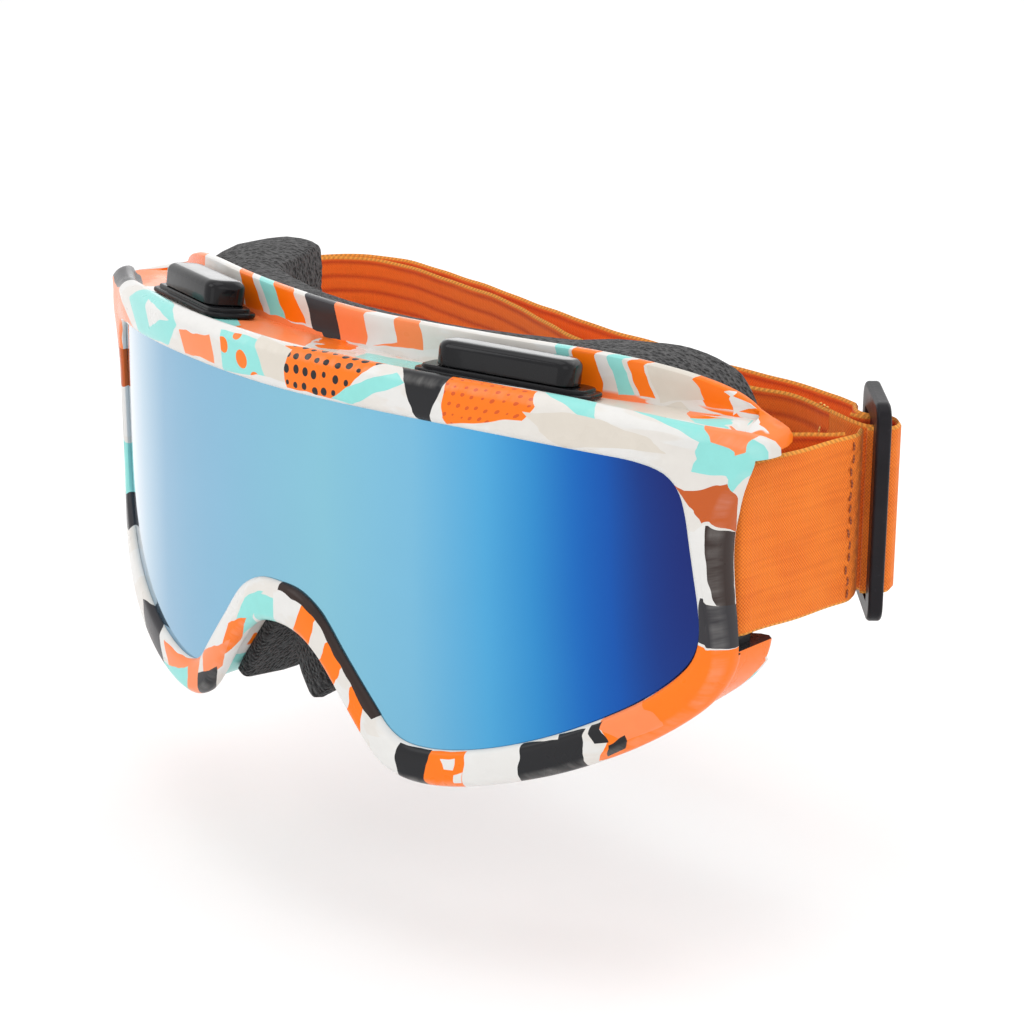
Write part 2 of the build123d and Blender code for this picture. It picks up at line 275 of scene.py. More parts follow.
def apply_all(o):
    dg = bpy.context.evaluated_depsgraph_get()
    me = bpy.data.meshes.new_from_object(o.evaluated_get(dg), preserve_all_data_layers=True, depsgraph=dg)
    old = o.data
    o.modifiers.clear()
    o.data = me
    me.name = old.name


def merged(objs):
    """Join meshes into the first one."""
    bm = bmesh.new()
    for o in objs:
        bm.from_mesh(o.data)
    bm.to_mesh(objs[0].data)
    bm.free()
    for o in objs[1:]:
        bpy.data.objects.remove(o)
    return objs[0]


def boolean(o, other, op):
    md = o.modifiers.new("b", "BOOLEAN")
    md.operation = op
    md.solver = "EXACT"
    md.use_self = True
    md.object = other
    apply_all(o)
    bpy.data.objects.remove(other)


def block(name, x0, x1, y0, y1, z0, z1, bevel=0.0, seg=3, mats=(), uv=(0, -0.5)):
    bm = bmesh.new()
    bmesh.ops.create_cube(bm, size=1.0)
    for v in bm.verts:
        v.co = Vector(((x0 + x1) / 2 + v.co.x * (x1 - x0), (y0 + y1) / 2 + v.co.y * (y1 - y0), (z0 + z1) / 2 + v.co.z * (z1 - z0)))
    if bevel:
        bmesh.ops.bevel(bm, geom=list(bm.edges), offset=bevel, segments=seg, affect="EDGES", profile=0.5)
    for v in bm.verts:
        v.co = Vector(place(v.co)[0])
    lay = bm.loops.layers.uv.new("UVMap")
    for f in bm.faces:
        f.smooth = bevel > 0
        for lp in f.loops:
            lp[lay].uv = uv
    me = bpy.data.meshes.new(name)
    bm.to_mesh(me)
    bm.free()
    for mt in mats:
        me.materials.append(mt)
    o = bpy.data.objects.new(name, me)
    bpy.context.scene.collection.objects.link(o)
    return o


def loft(rings, closed_ring=True, caps=True, close_rows=False):
    """Faces and vertices through equal rings (lists of points)."""
    n = len(rings[0])
    verts = np.concatenate([np.asarray(r, float).reshape(-1, 3) for r in rings])
    faces = []
    rows = len(rings)
    for i in range(rows if close_rows else rows - 1):
        a, b = i * n, ((i + 1) % rows) * n
        for k in range(n if closed_ring else n - 1):
            k2 = (k + 1) % n
            faces.append((a + k, a + k2, b + k2, b + k))
    if caps and not close_rows:
        faces.append(tuple(range(n))[::-1])
        faces.append(tuple((rows - 1) * n + k for k in range(n)))
    return verts, faces


def rounded_rect(l, w, r, seg=8):
    """Outline of a rounded rectangle, counter-clockwise, about its middle."""
    pts = []
    r = max(r, 0.01)
    for cxx, cyy, a0 in ((l / 2 - r, w / 2 - r, 0), (-l / 2 + r, w / 2 - r, 90), (-l / 2 + r, -w / 2 + r, 180), (l / 2 - r, -w / 2 + r, 270)):
        for k in range(seg + 1):
            a = math.radians(a0 + 90 * k / seg)
            pts.append((cxx + r * math.cos(a), cyy + r * math.sin(a)))
    return np.array(pts)
# ------------------------------------------------------------------ outlines (right half, from top to bottom)
LENS_R = 133.7
FLANGE_R, FLANGE_Y, FLANGE_T = 145.0, 21.0, 2.5

LENS = [(0, 26.2), (15.0, 26.2), (31.2, 26.0), (47.5, 25.2), (58.5, 24.2), (68.8, 22.9), (75.3, 21.8), (79.8, 19.8),
        (82.0, 16.6), (83.1, 12.0), (83.9, 5.5), (84.7, -1.0), (85.5, -8.0), (85.6, -14.0), (84.6, -18.0),
        (82.0, -21.8), (77.3, -26.3), (71.8, -30.1), (63.8, -34.6), (55.3, -38.3), (46.2, -41.1), (38.0, -42.4),
        (32.3, -42.0), (28.6, -39.8), (25.6, -36.1), (20.5, -29.7), (17.3, -25.7), (14.5, -22.0), (11.3, -18.5),
        (5.8, -15.5), (0, -15.0)]
BEZEL = [(0, 35.4), (15, 35.5), (31.4, 35.1), (45, 34.6), (60, 33.6), (70.6, 31.9), (79.5, 30.0), (86.5, 28.4),
         (91.8, 27.2), (95.3, 25.2), (95.9, 22.2), (94.2, 19.4), (91.4, 16.0), (89.6, 11.0), (89.0, 5), (89.4, -5),
         (90.1, -12), (90.4, -17), (89.4, -22), (86.5, -27.5), (81, -33), (74, -38), (65, -42.8), (56, -46.3),
         (47, -49), (38, -50.4), (31.5, -50), (26.5, -47.6), (22.5, -43.3), (18, -37.3), (13.7, -31.7), (10.5, -28.2),
         (6, -25.3), (0, -24.3)]
TUBE = [(0, 34.0), (15, 34.0), (31.4, 33.7), (45, 33.2), (60, 32.1), (70.6, 30.5), (79.5, 28.7), (86.3, 27.2),
        (91.0, 25.9), (94.0, 24.2), (94.5, 22.0), (93.0, 19.6), (90.4, 16.2), (88.5, 11.0), (88.0, 5), (88.4, -5),
        (89.0, -12), (89.3, -16.5), (88.2, -21), (85, -26.4), (79.5, -31.6), (72.5, -36.5), (64, -41), (55.5, -44.3),
        (46.5, -46.9), (38.3, -48.2), (32.3, -47.8), (27.8, -45.5), (24, -41.6), (19.5, -35.6), (14.8, -29.4),
        (10.8, -25.4), (6, -22.9), (0, -22.0)]
CAVE = [(0, 28.2), (40, 27.8), (58, 26.4), (70, 23.6), (75.6, 18.5), (77.3, 10), (77.5, 0), (77.4, -10), (76.4, -19),
        (72.5, -26.5), (65, -33), (56, -38), (46, -41.4), (38, -42.0), (32.2, -39.5), (27.6, -33.8), (22.8, -26.8),
        (17.8, -20.4), (11.8, -16.0), (5, -14.2), (0, -13.9)]
FLANGE = [(0, 38.2), (20, 38.4), (40, 38.2), (55, 37.6), (66, 36.2), (75, 33.9), (81, 31.0), (84.3, 27.4),
          (84.9, 24.2), (82.8, 21.4), (79.6, 18.4), (77.8, 13), (77.5, 5), (77.5, -8), (78.2, -14.5), (78.6, -20),
          (76.5, -26.5), (72.5, -32), (66.5, -37), (59, -41.3), (51.5, -44.8), (44, -47.2), (37.3, -47.8),
          (31.5, -46.0), (26.8, -41.5), (22.3, -35), (18, -28.6), (13.5, -23.6), (8, -20.6), (0, -19.6)]
EYE = [(0, 23.6), (20, 24.0), (45, 23.6), (60, 21.8), (68, 18.4), (72.0, 12.5), (73.2, 4), (73.2, -7), (71.8, -16),
       (67.5, -24), (60.5, -30.5), (53, -35), (45, -37.6), (38.5, -37.4), (33, -34), (28.4, -27.8), (23.8, -21),
       (18.6, -15.2), (12, -11.4), (5, -10.0), (0, -9.8)]
LENS_IN = [(0, 23.2), (15.0, 23.2), (31.1, 23.0), (47.3, 22.2), (58.2, 21.2), (68.3, 19.9), (74.6, 18.9),
           (78.4, 16.0), (80.0, 12.0), (80.9, 6.0), (81.7, 0), (82.4, -6.0), (82.6, -12.0), (82.0, -16.0),
           (80.0, -19.6), (75.8, -23.6), (70.6, -27.3), (62.8, -31.8), (54.6, -35.4), (45.8, -38.1), (38.2, -39.4),
           (33.8, -39.0), (30.6, -37.2), (28.0, -34.1), (23.0, -27.7), (19.8, -23.8), (17.0, -20.0), (13.2, -16.0),
           (6.6, -12.6), (0, -12.0)]
# where each outline passes the same stations round the face: top at x = 45, top corner, side, lower corner,
# lobe's outer side, lobe, lobe's inner side, nose flank, nose shoulder
MARKS = {
    "LENS": [(45, 25.4), (80.3, 19.4), (84.6, 0), (83.6, -19.6), (57, -37.7), (37.0, -42.4), (28.4, -39.6), (20.5, -29.7), (12.2, -19.4)],
    "BEZEL": [(47, 34.5), (95.4, 25.0), (89.1, 0), (90.0, -20.2), (60, -44.9), (37.0, -50.4), (24.6, -46.0), (16.2, -34.8), (8.4, -25.8)],
    "TUBE": [(47, 33.1), (94.0, 24.2), (88.1, 0), (88.9, -19.3), (59.5, -42.9), (37.5, -48.2), (26.0, -43.9), (17.5, -33.0), (8.8, -24.1)],
    "CAVE": [(44, 27.6), (74.6, 20.0), (77.5, 0), (75.7, -21.0), (56, -38), (38.5, -42.1), (30.0, -37.2), (20.6, -24.0), (12.4, -16.4)],
    "FLANGE": [(47, 38.0), (84.4, 27.3), (77.5, 0), (78.4, -21.5), (58, -41.8), (37.3, -47.8), (27.4, -42.4), (19.0, -30.0), (10.4, -21.4)],
    "EYE": [(42, 23.8), (70.0, 16.2), (73.3, 0), (71.2, -17.8), (54, -34.6), (39.5, -37.6), (31.0, -31.6), (21.5, -18.2), (11.2, -11.2)],
    "LENS_IN": [(44.5, 22.4), (78.6, 15.7), (81.7, 0), (81.0, -18.2), (56, -34.8), (37.6, -39.4), (30.2, -36.8), (21.0, -25.2), (12.4, -15.4)],
}
COUNT = [26, 26, 18, 18, 26, 18, 14, 16, 14, 14]      # steps between stations
ALL = {"LENS": LENS, "BEZEL": BEZEL, "TUBE": TUBE, "CAVE": CAVE, "FLANGE": FLANGE, "EYE": EYE, "LENS_IN": LENS_IN}


def catmull(pts, closed=False, fine=24):
    """Dense points on a centripetal Catmull-Rom curve."""
    p = np.array(pts, float)
    p = np.vstack([p[-1:], p, p[:2]]) if closed else np.vstack([2 * p[:1] - p[1:2], p, 2 * p[-1:] - p[-2:-1]])
    out = []
    for i in range(1, len(p) - 2):
        p0, p1, p2, p3 = p[i - 1], p[i], p[i + 1], p[i + 2]
        t1 = max(np.linalg.norm(p1 - p0), 1e-9) ** 0.5
        t2 = t1 + max(np.linalg.norm(p2 - p1), 1e-9) ** 0.5
        t3 = t2 + max(np.linalg.norm(p3 - p2), 1e-9) ** 0.5
        t = np.linspace(t1, t2, fine, endpoint=False)[:, None]
        a1 = (t1 - t) / t1 * p0 + t / t1 * p1
        a2 = (t2 - t) / (t2 - t1) * p1 + (t - t1) / (t2 - t1) * p2
        a3 = (t3 - t) / (t3 - t2) * p2 + (t - t2) / (t3 - t2) * p3
        b1 = (t2 - t) / t2 * a1 + t / t2 * a2
        b2 = (t3 - t) / (t3 - t1) * a2 + (t - t1) / (t3 - t1) * a3
        out.append((t2 - t) / (t2 - t1) * b1 + (t - t1) / (t2 - t1) * b2)
    if not closed:
        out.append(p[-2:-1])
    return np.vstack(out)


def smooth_loop(pts):
    """Dense smooth right half of a mirrored outline."""
    full = list(pts) + [(-x, z) for x, z in reversed(pts[1:-1])]
    c = catmull(full, closed=True, fine=30)
    n = (len(pts) - 1) * 30
    half = c[:n + 1].copy()
    half[0, 0] = 0.0
    half[-1, 0] = 0.0
    # ease small wobbles
    for _ in range(60):
        half[1:-1] = half[1:-1] * 0.5 + (half[:-2] + half[2:]) * 0.25
        half[0, 1] = half[0, 1] * 0.5 + half[1, 1] * 0.5
        half[-1, 1] = half[-1, 1] * 0.5 + half[-2, 1] * 0.5
    return half


def stationed(name):
    """Right half of an outline, sampled so that every outline has matching points."""
    h = smooth_loop(ALL[name])
    s = np.concatenate([[0], np.cumsum(np.linalg.norm(np.diff(h, axis=0), axis=1))])
    at = [0.0]
    for m in MARKS[name]:
        d = np.linalg.norm(h - np.array(m), axis=1)
        at.append(s[int(np.argmin(d))])
    at.append(s[-1])
    q = []
    for i, n in enumerate(COUNT):
        q += list(at[i] + (at[i + 1] - at[i]) * np.arange(n) / n)
    q.append(at[-1])
    q = np.array(q)
    # even out the step change at each station
    for _ in range(30):
        q[1:-1] = q[1:-1] * 0.5 + (q[:-2] + q[2:]) * 0.25
    return np.stack([np.interp(q, s, h[:, 0]), np.interp(q, s, h[:, 1])], 1), q


LOOPS = {}
for _n in ALL:
    LOOPS[_n], _q = stationed(_n)
    if _n == "LENS":
        ARC = _q
N_HALF = len(ARC)


def lens_y(x, d):
    """Surface parallel to the lens, d behind its front, at x."""
    r = LENS_R - d
    return LENS_R - np.sqrt(np.maximum(r * r - x * x, 1.0))


def wall_y(x, d=0.0):
    r = FLANGE_R - d
    return FLANGE_Y + FLANGE_R - np.sqrt(np.maximum(r * r - x * x, 1.0))


def off(loop, d):
    """Move a half loop outwards (d > 0)."""
    t = np.gradient(loop, axis=0)
    t[0] = (1, 0)
    t[-1] = (-1, 0)
    t /= np.linalg.norm(t, axis=1)[:, None]
    o = loop + np.stack([-t[:, 1], t[:, 0]], 1) * d
    o[0, 0] = 0
    o[-1, 0] = 0
    return o


def mixl(a, b, t):
    return a * (1 - t) + b * t


# ------------------------------------------------------------------ frame rows
def plane_z(y):
    """Height of the frame's sloping top."""
    return 33.75 - 0.16 * (y - 4.0)


def frame_rows():
    """Rows of the moulded frame, right half: (outline, depth, band coordinate)."""
    L, B, T, F, E, C, LI = (LOOPS[k] for k in ("LENS", "BEZEL", "TUBE", "FLANGE", "EYE", "CAVE", "LENS_IN"))
    rows = []

    def add(loop, y, b):
        rows.append((loop.copy(), np.array(y, float).copy(), float(b)))

    def at_lens(loop, d, b):
        add(loop, lens_y(loop[:, 0], d), b)

    at_lens(off(L, 1.7), -0.04, -1.5)
    at_lens(L, -0.03, 0.0)
    at_lens(off(L, 0.02), -0.35, 0.4)
    at_lens(off(L, 0.25), -0.85, 1.0)
    at_lens(off(L, 0.7), -1.25, 1.6)
    at_lens(off(L, 1.2), -1.50, 2.1)
    at_lens(off(L, 1.7), -1.62, 2.6)
    at_lens(mixl(off(L, 1.7), off(B, -2.2), 0.33), -1.74, 4.0)
    at_lens(mixl(off(L, 1.7), off(B, -2.2), 0.67), -1.80, 5.4)
    at_lens(off(B, -2.0), -1.80, 6.8)
    at_lens(off(B, -1.6), -1.72, 7.3)
    at_lens(off(B, -1.2), -1.48, 7.8)
    at_lens(off(B, -0.65), -0.95, 8.5)
    at_lens(off(B, -0.25), -0.35, 9.2)
    at_lens(off(B, -0.04), 0.4, 10.0)
    at_lens(B, 1.1, 10.8)
    at_lens(off(B, -0.08), 1.7, 11.4)
    at_lens(off(B, -0.3), 2.2, 12.0)
    at_lens(off(B, -0.65), 2.55, 12.5)
    ys = lens_y(T[:, 0], 2.9)
    ye = wall_y(T[:, 0]) - 0.7
    low = np.clip((8.0 - T[:, 1]) / 16.0, 0, 1)
    low = low * low * (3 - 2 * low)
    lim = 41.0 + 7.6 * low + np.maximum(0, 88.0 - T[:, 0]) * 3.0
    ye = np.minimum(ye, lim)
    n = 7
    last = None
    for k in range(n):
        t = k / (n - 1)
        y = ys * (1 - t) + ye * t
        loop = T.copy()
        z2 = np.minimum(loop[:, 1], plane_z(y))
        loop[:, 1] = np.where(loop[:, 1] > 10, z2, loop[:, 1])
        add(loop, y, 13.2 + 14.8 * t)
        last = loop
    fy = wall_y(F[:, 0])
    near = off(last, 0.0)
    m = mixl(near, F, 0.14)
    add(m, ye * 0.45 + (wall_y(m[:, 0]) - 0.12) * 0.55, 29.0)
    m = mixl(near, F, 0.3)
    add(m, np.maximum(ye * 0.15 + wall_y(m[:, 0]) * 0.85, 0), 30.4)
    m = mixl(near, F, 0.65)
    add(m, wall_y(m[:, 0]), 33.0)
    add(off(F, -0.55), fy, 35.0)
    add(off(F, -0.18), fy + 0.14, 35.5)
    add(F, fy + 0.5, 36.0)
    add(F, fy + FLANGE_T - 0.5, 38.0)
    add(off(F, -0.18), fy + FLANGE_T - 0.14, 38.5)
    add(off(F, -0.55), fy + FLANGE_T, 39.0)
    for t in (0.35, 0.7):
        m = mixl(F, E, t)
        add(m, wall_y(m[:, 0]) + FLANGE_T, 39 + 8 * t)
    ey = wall_y(E[:, 0])
    add(off(E, 0.4), ey + FLANGE_T, 47.0)
    add(E, ey + FLANGE_T - 0.4, 47.6)
    add(E, ey + 0.2, 49.5)
    m = mixl(E, C, 0.5)
    add(m, wall_y(m[:, 0]) - 0.05, 51.0)
    cy = wall_y(C[:, 0])
    add(C, cy - 0.4, 53.0)
    add(C, (cy - 0.4) * 0.5 + lens_y(C[:, 0], 4.3) * 0.5, 60.0)
    add(C, lens_y(C[:, 0], 4.3), 68.0)
    add(LI, lens_y(LI[:, 0], 4.0), 70.0)
    add(LI, lens_y(LI[:, 0], 1.40), 73.0)
    at_lens(off(L, 1.7), 1.28, 76.0)
    return rows



# ------------------------------------------------------------------ shell of the frame
def full_loop(h, y):
    """Right half with depths -> closed loop from top, down the right side, and up the left."""
    p = np.stack([h[:, 0], np.broadcast_to(y, h[:, 0].shape), h[:, 1]], 1)
    q = p[1:-1][::-1].copy()
    q[:, 0] *= -1
    return np.concatenate([p, q])


def frame_mesh():
    rows = frame_rows()
    rings = [full_loop(r[0], r[1]) for r in rows]
    for q in rings:
        q[:, 0] -= 1.7 * np.clip((q[:, 0] - 84.0) / 9.0, 0, 1) * np.clip((q[:, 2] - 10.0) / 9.0, 0, 1)
    for q in rings:                              # left top corner stands a little further out
        e = np.clip((-q[:, 0] - 82.0) / 9.0, 0, 1) * np.clip((q[:, 2] - 8.0) / 12.0, 0, 1)
        q[:, 0] -= 2.0 * e
        q[:, 2] += 1.6 * e * np.clip((q[:, 2] - 18.0) / 8.0, 0, 1)
    n = len(rings[0])
    a_pos = np.concatenate([ARC, -ARC[1:-1][::-1]])
    verts, faces = loft(rings, caps=False, close_rows=True)
    bvals = [r[2] for r in rows]
    uvs = []
    rows_n = len(rings)
    for i in range(rows_n):
        b0 = bvals[i]
        b1 = bvals[i + 1] if i + 1 < rows_n else 80.0
        for k in range(n):
            k2 = (k + 1) % n
            aa, ab = a_pos[k], a_pos[k2]
            if k == N_HALF - 1:          # lower middle: the left half starts at minus the whole length
                aa = -ARC[-1]
            uvs += [(aa / 100, b0 / 100), (ab / 100, b0 / 100), (ab / 100, b1 / 100), (aa / 100, b1 / 100)]
    return verts, faces, uvs


def plate(name, half, d0, d1, step=2.6, mats=()):
    """Closed thin shell of an outline between two surfaces parallel to the lens, with exact smooth normals."""
    from mathutils.geometry import delaunay_2d_cdt
    loop = np.concatenate([half, half[1:-1][::-1] * np.array([-1, 1])])
    keep_ = [loop[0]]
    for p in loop[1:]:
        if np.linalg.norm(p - keep_[-1]) > 0.9:
            keep_.append(p)
    loop = np.array(keep_)
    n = len(loop)
    xs = np.arange(-90, 90.1, step)
    zs = np.arange(-52, 32, step)
    inner = []
    x1, z1 = loop[:, 0], loop[:, 1]
    x2, z2 = np.roll(x1, -1), np.roll(z1, -1)
    for x in xs:
        for z in zs:
            c = (z1 > z) != (z2 > z)
            xi = x1 + (z - z1) / np.where(z2 == z1, 1e-9, z2 - z1) * (x2 - x1)
            if (np.sum(c & (x < xi)) % 2) and np.min(np.hypot(x1 - x, z1 - z)) > step * 0.55:
                inner.append((x, z))
    pts = [Vector(p) for p in loop] + [Vector(p) for p in inner]
    vs, es, fs, ov, oe, of_ = delaunay_2d_cdt(pts, [], [list(range(n))], 1, 1e-5)
    where = {}
    for i, o in enumerate(ov):
        for k in o:
            where[k] = i
    rim = [where[k] for k in range(n)]
    v2 = np.array([(v.x, v.y) for v in vs])
    m_ = len(v2)
    f = np.stack([v2[:, 0], lens_y(v2[:, 0], d0), v2[:, 1]], 1)
    b = np.stack([v2[:, 0], lens_y(v2[:, 0], d1), v2[:, 1]], 1)
    faces = []
    a_ = sum(v2[fs[0][i]][0] * v2[fs[0][(i + 1) % 3]][1] - v2[fs[0][(i + 1) % 3]][0] * v2[fs[0][i]][1] for i in range(3))
    for t in fs:
        t = list(t)
        if a_ < 0:
            t = t[::-1]
        faces.append(tuple(t))                       # counter-clockwise seen from the front (-Y)
        faces.append(tuple(m_ + i for i in t[::-1]))
    for i in range(n):
        p, q = rim[i], rim[(i + 1) % n]
        faces.append((p, q, m_ + q, m_ + p))
    o = mesh_piece(name, np.concatenate([f, b]), faces, mats=mats)
    outward(o)
    edges_sharp(o, 35)
    me = o.data
    nrm = []
    for p in me.polygons:
        ny = p.normal
        rim_face = abs(ny.y) < 0.35 and abs(ny.z) + abs(ny.x) > 0.6 and len(p.vertices) == 4
        for li in p.loop_indices:
            if rim_face:
                nrm.append(tuple(ny))
                continue
            v = me.vertices[me.loops[li].vertex_index].co
            x, y = v.x * 1000, v.y * 1000 + Y0 - LENS_R
            r = math.hypot(x, y)
            s = 1.0 if ny.x * x + ny.y * y > 0 else -1.0
            nrm.append((s * x / r, s * y / r, 0.0))
    me.normals_split_custom_set(nrm)
    return o


# ------------------------------------------------------------------ webbing
def resample(pts, step):
    c = catmull(pts, fine=40)
    s = np.concatenate([[0], np.cumsum(np.linalg.norm(np.diff(c, axis=0), axis=1))])
    n = max(4, int(round(s[-1] / step)))
    q = np.linspace(0, s[-1], n + 1)
    return np.stack([np.interp(q, s, c[:, 0]), np.interp(q, s, c[:, 1])], 1), q


def ribbon(name, pts, mats, t=1.1, w=35.0, z=2.8, step=1.0, face=1, ribs_out=0, ribs_in=9, rib_h=0.22,
           lift=None, pucker=None, soft=0.25, seed=1.0, curl=0.0):
    """Webbing standing on edge along a plan path. face=1 puts the woven outer face on the left of the path.
    lift(u, length) raises the band, pucker(u, length) pushes it sideways (mm)."""
    c, q = resample(pts, step)
    n = len(c)
    tan = np.gradient(c, axis=0)
    tan /= np.linalg.norm(tan, axis=1)[:, None]
    side = np.stack([-tan[:, 1], tan[:, 0]], 1) * face
    across = 46
    v = np.linspace(-w / 2, w / 2, across + 1)
    re = 0.55
    edge = np.clip((np.abs(v) - (w / 2 - re)) / re, 0, 1)
    body_t = np.sqrt(np.maximum(1 - edge ** 2, 0.0)) * t / 2

    def ribbed(k, h):
        if not k:
            return np.zeros_like(v)
        inside = np.clip((w / 2 - 1.3 - np.abs(v)) / 0.6, 0, 1)
        return -h * (1 - np.abs(np.sin(math.pi * k * (v / (w - 2.6) + 0.5))) ** 0.55) * inside
    top = body_t + ribbed(ribs_out, rib_h)
    bot = body_t + ribbed(ribs_in, rib_h)
    rings, us, vs_ = [], [], []
    length = q[-1]
    for i in range(n):
        dz = lift(q[i], length) if lift else 0.0
        wave = 0.10 * math.sin(q[i] * 0.19 + seed) + 0.06 * math.sin(q[i] * 0.41 + 2 * seed)
        f_end = min(1.0, q[i] / 8.0, (length - q[i]) / 8.0)
        rel = v / (w / 2)
        sway = soft * f_end * (math.sin(q[i] * 0.085 + seed) * rel + 0.5 * math.sin(q[i] * 0.13 + 2.2 * seed) * (rel ** 2 - 0.4))
        sway = sway + curl * rel ** 2 * f_end
        if pucker is not None:
            sway = sway + pucker(q[i], length, v)
        s = side[i]
        pa = np.stack([c[i, 0] + s[0] * (top + sway), c[i, 1] + s[1] * (top + sway), z + v + dz + wave * f_end], 1)
        pb = np.stack([c[i, 0] - s[0] * (bot - sway), c[i, 1] - s[1] * (bot - sway), z + v + dz + wave * f_end], 1)
        rings.append(np.concatenate([pa, pb[1:-1][::-1]]))
    k = len(rings[0])
    verts, faces = loft(rings, caps=True)
    vv = np.concatenate([v, v[1:-1][::-1]]) / 100
    na = len(v)
    uvs = []
    for i in range(n - 1):
        for j in range(k):
            j2 = (j + 1) % k
            inner = j >= na - 1
            o1 = o2 = 1.0 if inner else 0.0
            va, vb = vv[j] + o1, vv[j2] + o2
            uvs += [(q[i] / 100, va), (q[i] / 100, vb), (q[i + 1] / 100, vb), (q[i + 1] / 100, va)]
    for u_ in (q[0], q[-1]):
        order = range(k)
        for j in (list(order)[::-1] if u_ == q[0] else order):
            uvs.append((u_ / 100, 0.0))
    o = mesh_piece(name, verts, faces, uvs=uvs, mats=mats)
    outward(o)
    edges_sharp(o, 50)
    return o


def capsules(name, items, mats, seg=8):
    """Short rounded threads: items of (from, to, radius, sag direction, sag)."""
    V, F = [], []
    base = 0
    for a, b, r, nrm, bow in items:
        a, b, nrm = Vector(a), Vector(b), Vector(nrm)
        d = (b - a).normalized()
        s1 = nrm.normalized()
        s2 = d.cross(s1).normalized()
        rows_ = 9
        for i in range(rows_):
            tt = i / (rows_ - 1)
            e = math.sqrt(max(0.0, 1 - abs(2 * tt - 1) ** 4)) * 0.92 + 0.08
            c = a.lerp(b, tt) + s1 * (bow * math.sin(math.pi * tt))
            for k in range(seg):
                an = 2 * math.pi * k / seg
                V.append(tuple(c + (s1 * math.cos(an) * 0.8 + s2 * math.sin(an)) * r * e))
        for i in range(rows_ - 1):
            for k in range(seg):
                k2 = (k + 1) % seg
                F.append((base + i * seg + k, base + i * seg + k2, base + (i + 1) * seg + k2, base + (i + 1) * seg + k))
        F.append(tuple(base + k for k in range(seg))[::-1])
        F.append(tuple(base + (rows_ - 1) * seg + k for k in range(seg)))
        base += rows_ * seg
    o = mesh_piece(name, V, F, mats=mats)
    outward(o)
    return o


# ------------------------------------------------------------------ vents
def vent_frame(side):
    a = math.radians(20.0) * side
    zc = 33.9 - 0.16 * (20.0 - 4.0) + 0.05
    nz = Vector((0, 0.16, 1)).normalized()
    xd = Vector((math.cos(a), math.sin(a), -0.16 * math.sin(a))).normalized()
    yd = nz.cross(xd)
    return Vector((side * 45.0, 20.0, zc)), xd, yd, nz


def pad_loft(name, side, rings, mats, close_rows=False, caps=True, sharp=40):
    """rings of (length, width, corner radius, height) stacked on a vent's plane."""
    o, xd, yd, nz = vent_frame(side)
    R = []
    for l, w, r, h in rings:
        q = rounded_rect(l, w, r)
        R.append([tuple(o + xd * p[0] + yd * p[1] + nz * h) for p in q])
    verts, faces = loft(R, caps=caps, close_rows=close_rows)
    ob = mesh_piece(name, verts, faces, mats=mats)
    outward(ob)
    edges_sharp(ob, sharp)
    return ob


def arc_rings(l, w, r, z, rad, n=7, inward=True):
    out = []
    for k in range(n + 1):
        a = math.pi / 2 * k / n
        d = rad * (1 - math.cos(a))
        out.append((l - 2 * d, w - 2 * d, max(r - d * 0.6, 0.3), z + rad * math.sin(a)))
    return out


# ------------------------------------------------------------------ adjuster coordinates
def adj(s, n):
    return (96.3 - 0.6873 * s + 0.7263 * n, 72.8 + 0.7263 * s + 0.6873 * n)


